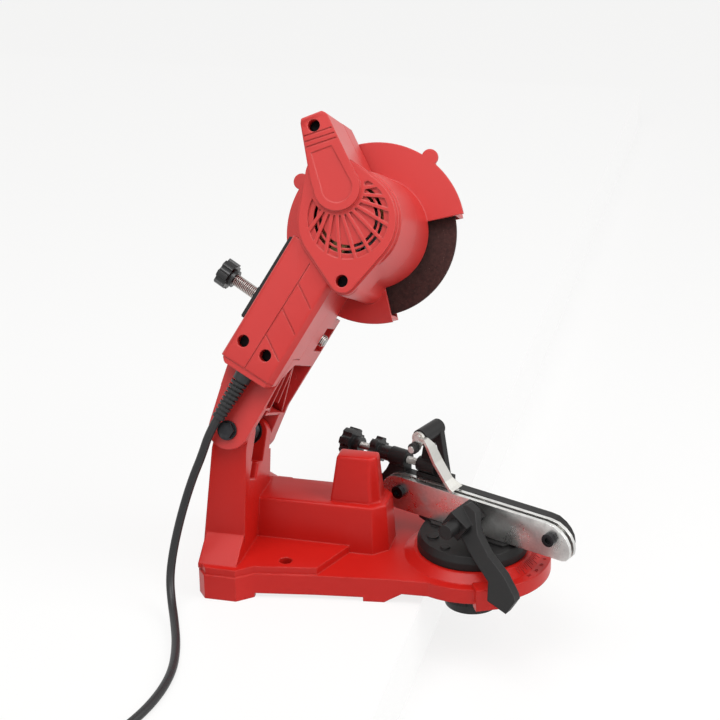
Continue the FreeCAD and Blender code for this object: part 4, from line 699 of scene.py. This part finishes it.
def groove_tool(start, end, face, width, depth):
    """A bar that carves one straight line, given in u and v, in a face at this height of the head (mm)."""
    (u0, v0), (u1, v1) = start, end
    run = math.hypot(u1 - u0, v1 - v0)
    bpy.ops.mesh.primitive_cube_add(size=1.0)
    bar = bpy.context.object
    bar.scale = (run + width, width, depth * 2)
    bpy.ops.object.transform_apply(location=False, rotation=False, scale=True)
    middle = Matrix.Translation(((u0 + u1) / 2, (v0 + v1) / 2, face))
    bar.data.transform(head_mm @ middle @ Matrix.Rotation(math.atan2(v1 - v0, u1 - u0), 4, "Z"))
    return bar


grip_face, boss_face = 82.0, 89.0
tools = [groove_tool((38.5, 7.6), (118.0, 6.7), grip_face, width=0.7, depth=0.55)]
for top_u in (66.0, 85.5, 104.2):
    tools.append(groove_tool((top_u, 6.9), (top_u - 9.4, -8.6), grip_face, width=0.7, depth=0.55))
for start, end in (((184.1, 50.5), (197.3, 38.8)), ((181.4, 48.1), (195.5, 35.5)), ((178.7, 45.8), (193.6, 32.8))):
    tools.append(groove_tool(start, end, boss_face, width=0.8, depth=0.6))
# The sunk panel has two corners under the grooves and a round end.
rim = [(177.3, 41.3), (188.0, 32.6)]
round_u, round_v, round_r = 167.7, 15.9, 9.7
for step in range(0, 17):
    sweep = math.radians(-42.0 - 190.0 * step / 16)
    rim.append((round_u + round_r * math.cos(sweep), round_v + round_r * math.sin(sweep)))
tools.append(head_prism("panel_tool", [(u, v, boss_face - 0.6) for u, v in rim], (0, 0, 2.0)))
carve_with(cover, tools)
dress(cover, head_red)
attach(cover, "head")
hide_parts("motor_cover")
bpy.ops.object.select_all(action="DESELECT")


# ------------------------------------------------------------------ switch
# Black panel let into the back of the grip with a rocker switch at its lower end.
# Panel and housing are textured nylon; the rocker is a smoother cap on a steel pin.
black_nylon = moulded_material("black_nylon", (0.014, 0.0140, 0.0140), (0.06, 0.06, 0.06),
                               rough=0.48, grain=0.30, size=1500, wear=0.25, edge=0.0004, specular=0.22)
black_cap = moulded_material("black_cap", (0.014, 0.014, 0.0145), (0.06, 0.06, 0.06),
                             rough=0.28, grain=0.08, size=900, wear=0.25, edge=0.0004, specular=0.40)
bright_steel = steel_material("bright_steel", (0.70, 0.70, 0.69), (0.55, 0.55, 0.54), rough=0.20, lines=0.15)
finish_nodes(black_nylon, "switch_panel", "switch_body")
finish_nodes(black_cap, "rocker")
finish_nodes(bright_steel, "rocker_pin")


# ------------------------------------------------------------------ motor
# Universal motor inside the head: laminated cores, enamelled copper windings, ball
# bearings, brass brush holders with carbon blocks, and a black cooling fan.
along_shaft = (math.radians(-64.8), 0, 0)
laminated = steel_material("laminated_core", (0.40, 0.40, 0.41), (0.22, 0.20, 0.19),
                           rough=0.45, lines=0.8, turn=along_shaft, stretch=(40, 40, 2400))
copper = steel_material("enamelled_copper", (0.62, 0.24, 0.10), (0.36, 0.11, 0.05),
                        rough=0.30, lines=0.9, turn=along_shaft, stretch=(900, 900, 140))
brass = steel_material("turned_brass", (0.42, 0.29, 0.13), (0.24, 0.16, 0.08), rough=0.42, lines=0.2)
graphite = moulded_material("graphite", (0.030, 0.030, 0.032), (0.10, 0.10, 0.10),
                            rough=0.55, grain=0.4, size=2200, wear=0.3, edge=0.0003, specular=0.4)
finish_nodes(laminated, "motor_stator", "armature_core")
finish_nodes(copper, "field_coils", "armature_winding", "commutator")
finish_nodes(brass, "brush_holders")
finish_nodes(graphite, "carbon_brushes")
finish_nodes(bright_steel, "front_bearing", "tail_bearing", "motor_shaft")
finish_nodes(black_nylon, "cooling_fan")


# ------------------------------------------------------------------ grinding wheel
# Thin wheel of 108 by 3.2 mm: brown alumina grit in a dark vitrified bond, held
# between two plated flanges by a nut.
grit, tree, shader = new_material("bonded_grit", (0.045, 0.019, 0.016), rough=0.80, specular=0.18)
place = tree.nodes.new("ShaderNodeTexCoord")
grains = tree.nodes.new("ShaderNodeTexVoronoi")
grains.inputs["Scale"].default_value = 1700.0
tree.links.new(place.outputs["Object"], grains.inputs["Vector"])
pores = tree.nodes.new("ShaderNodeTexNoise")
pores.inputs["Scale"].default_value = 420.0
pores.inputs["Detail"].default_value = 6.0
tree.links.new(place.outputs["Object"], pores.inputs["Vector"])
tones = tree.nodes.new("ShaderNodeValToRGB")
dark_grit, pale_grit = tones.color_ramp.elements
dark_grit.position, dark_grit.color = 0.30, (0.030, 0.0125, 0.0115, 1)
pale_grit.position, pale_grit.color = 0.72, (0.055, 0.0220, 0.0195, 1)
tree.links.new(pores.outputs["Fac"], tones.inputs["Fac"])
sparkle = tree.nodes.new("ShaderNodeMapRange")
sparkle.inputs["From Min"].default_value = 0.86
sparkle.inputs["From Max"].default_value = 1.0
tree.links.new(grains.outputs["Color"], sparkle.inputs["Value"])
glint = tree.nodes.new("ShaderNodeMix")
glint.data_type = "RGBA"
glint.inputs["B"].default_value = (0.085, 0.045, 0.038, 1)
tree.links.new(sparkle.outputs["Result"], glint.inputs["Factor"])
tree.links.new(tones.outputs["Color"], glint.inputs["A"])
tree.links.new(glint.outputs["Result"], shader.inputs["Base Color"])
rise = tree.nodes.new("ShaderNodeBump")
rise.inputs["Strength"].default_value = 0.35
rise.inputs["Distance"].default_value = 0.00025
tree.links.new(grains.outputs["Distance"], rise.inputs["Height"])
tree.links.new(rise.outputs["Normal"], shader.inputs["Normal"])
finish_nodes(grit, "grinding_wheel")
finish_nodes(zinc_plate, "inner_flange", "outer_flange", "wheel_nut")


# ------------------------------------------------------------------ threaded rods
# The depth stop and the chain stop ride on zinc-plated screws with rolled threads,
# turned by lobed black knobs that are pressed on; a star nut locks the chain stop.
def thread_material(name, along, pitch):
    """Plated steel whose thread is a rise and fall along the rod's axis, one for each pitch in metres, with
    painted shade in its roots and a painted highlight on its crests.
    """
    mat, tree, shader = new_material(name, (0.60, 0.59, 0.57), rough=0.28, metal=1.0)
    spot = tree.nodes.new("ShaderNodeTexCoord")
    reach = tree.nodes.new("ShaderNodeVectorMath")
    reach.operation = "DOT_PRODUCT"
    reach.inputs[1].default_value = along
    tree.links.new(spot.outputs["Object"], reach.inputs[0])
    turns = tree.nodes.new("ShaderNodeMath")
    turns.operation = "MULTIPLY"
    turns.inputs[1].default_value = 2 * math.pi / pitch
    tree.links.new(reach.outputs["Value"], turns.inputs[0])
    ridge = tree.nodes.new("ShaderNodeMath")
    ridge.operation = "SINE"
    tree.links.new(turns.outputs[0], ridge.inputs[0])
    shade = tree.nodes.new("ShaderNodeMapRange")
    shade.inputs["From Min"].default_value = -1.0
    tree.links.new(ridge.outputs[0], shade.inputs["Value"])
    # the colour darkens in the thread's roots and pales on its crests: painted shade and painted highlight
    thread_painted_shade = tree.nodes.new("ShaderNodeMix")
    thread_painted_shade.data_type = "RGBA"
    thread_painted_shade.inputs["A"].default_value = (0.20, 0.19, 0.18, 1)
    thread_painted_shade.inputs["B"].default_value = (0.72, 0.70, 0.66, 1)
    tree.links.new(shade.outputs["Result"], thread_painted_shade.inputs["Factor"])
    tree.links.new(thread_painted_shade.outputs["Result"], shader.inputs["Base Color"])
    lift = tree.nodes.new("ShaderNodeBump")
    lift.inputs["Strength"].default_value = 0.9
    lift.inputs["Distance"].default_value = pitch * 0.35
    tree.links.new(shade.outputs["Result"], lift.inputs["Height"])
    tree.links.new(lift.outputs["Normal"], shader.inputs["Normal"])
    return mat


depth_thread = thread_material("depth_thread", along=(0.8711947, -0.2090311, -0.4442137), pitch=0.00125)
stop_thread = thread_material("stop_thread", along=(0.9252097, -0.3794562, 0.0), pitch=0.0008)
finish_nodes(depth_thread, "depth_screw")
finish_nodes(stop_thread, "stop_screw")
finish_nodes(black_cap, "depth_knob", "stop_knob", "star_lock_nut")


# ------------------------------------------------------------------ turntable and vise
# Matt black casting: a round table with the rear jaw standing on it. Two plated steel
# plates form the groove that guides the chain; a lever on a stud clamps them, and a
# knob under the nose locks the table's swivel bolt.
black_cast = moulded_material("black_cast", (0.012, 0.0115, 0.0115), (0.06, 0.06, 0.06),
                              rough=0.44, grain=0.28, size=1200, wear=0.5, edge=0.0008, specular=0.22)
along_rail = (0, 0, math.radians(22.3))
plate_steel = steel_material("plate_steel", (0.78, 0.78, 0.76), (0.50, 0.50, 0.49),
                             rough=0.27, lines=0.55, turn=along_rail, stretch=(40, 900, 700))
finish_nodes(black_cast, "vise_body")
finish_nodes(plate_steel, "near_chain_plate", "far_chain_plate", "plate_spacers")
finish_nodes(black_oxide, "vise_screws", "clamp_stud")
finish_nodes(zinc_plate, "swivel_bolt")
finish_nodes(black_nylon, "lock_knob")
finish_nodes(black_cast, "clamp_lever", "stop_carriage")


# ------------------------------------------------------------------ chain stop pawl
# A bent strip of satin stainless steel that drops onto the chain's tie strap. It
# turns on a bright pin, and a rubber ring cushions its rest pin.
satin_steel = steel_material("satin_steel", (0.60, 0.59, 0.56), (0.50, 0.49, 0.46), rough=0.34, lines=0.2)
pad_rubber = moulded_material("pad_rubber", (0.020, 0.020, 0.021), (0.06, 0.06, 0.06),
                              rough=0.62, grain=0.3, size=1500, wear=0.2, edge=0.0003, specular=0.4)
finish_nodes(satin_steel, "pawl")
finish_nodes(zinc_plate, "pawl_pin", "pawl_rest_pin")
finish_nodes(pad_rubber, "pawl_rest_ring")
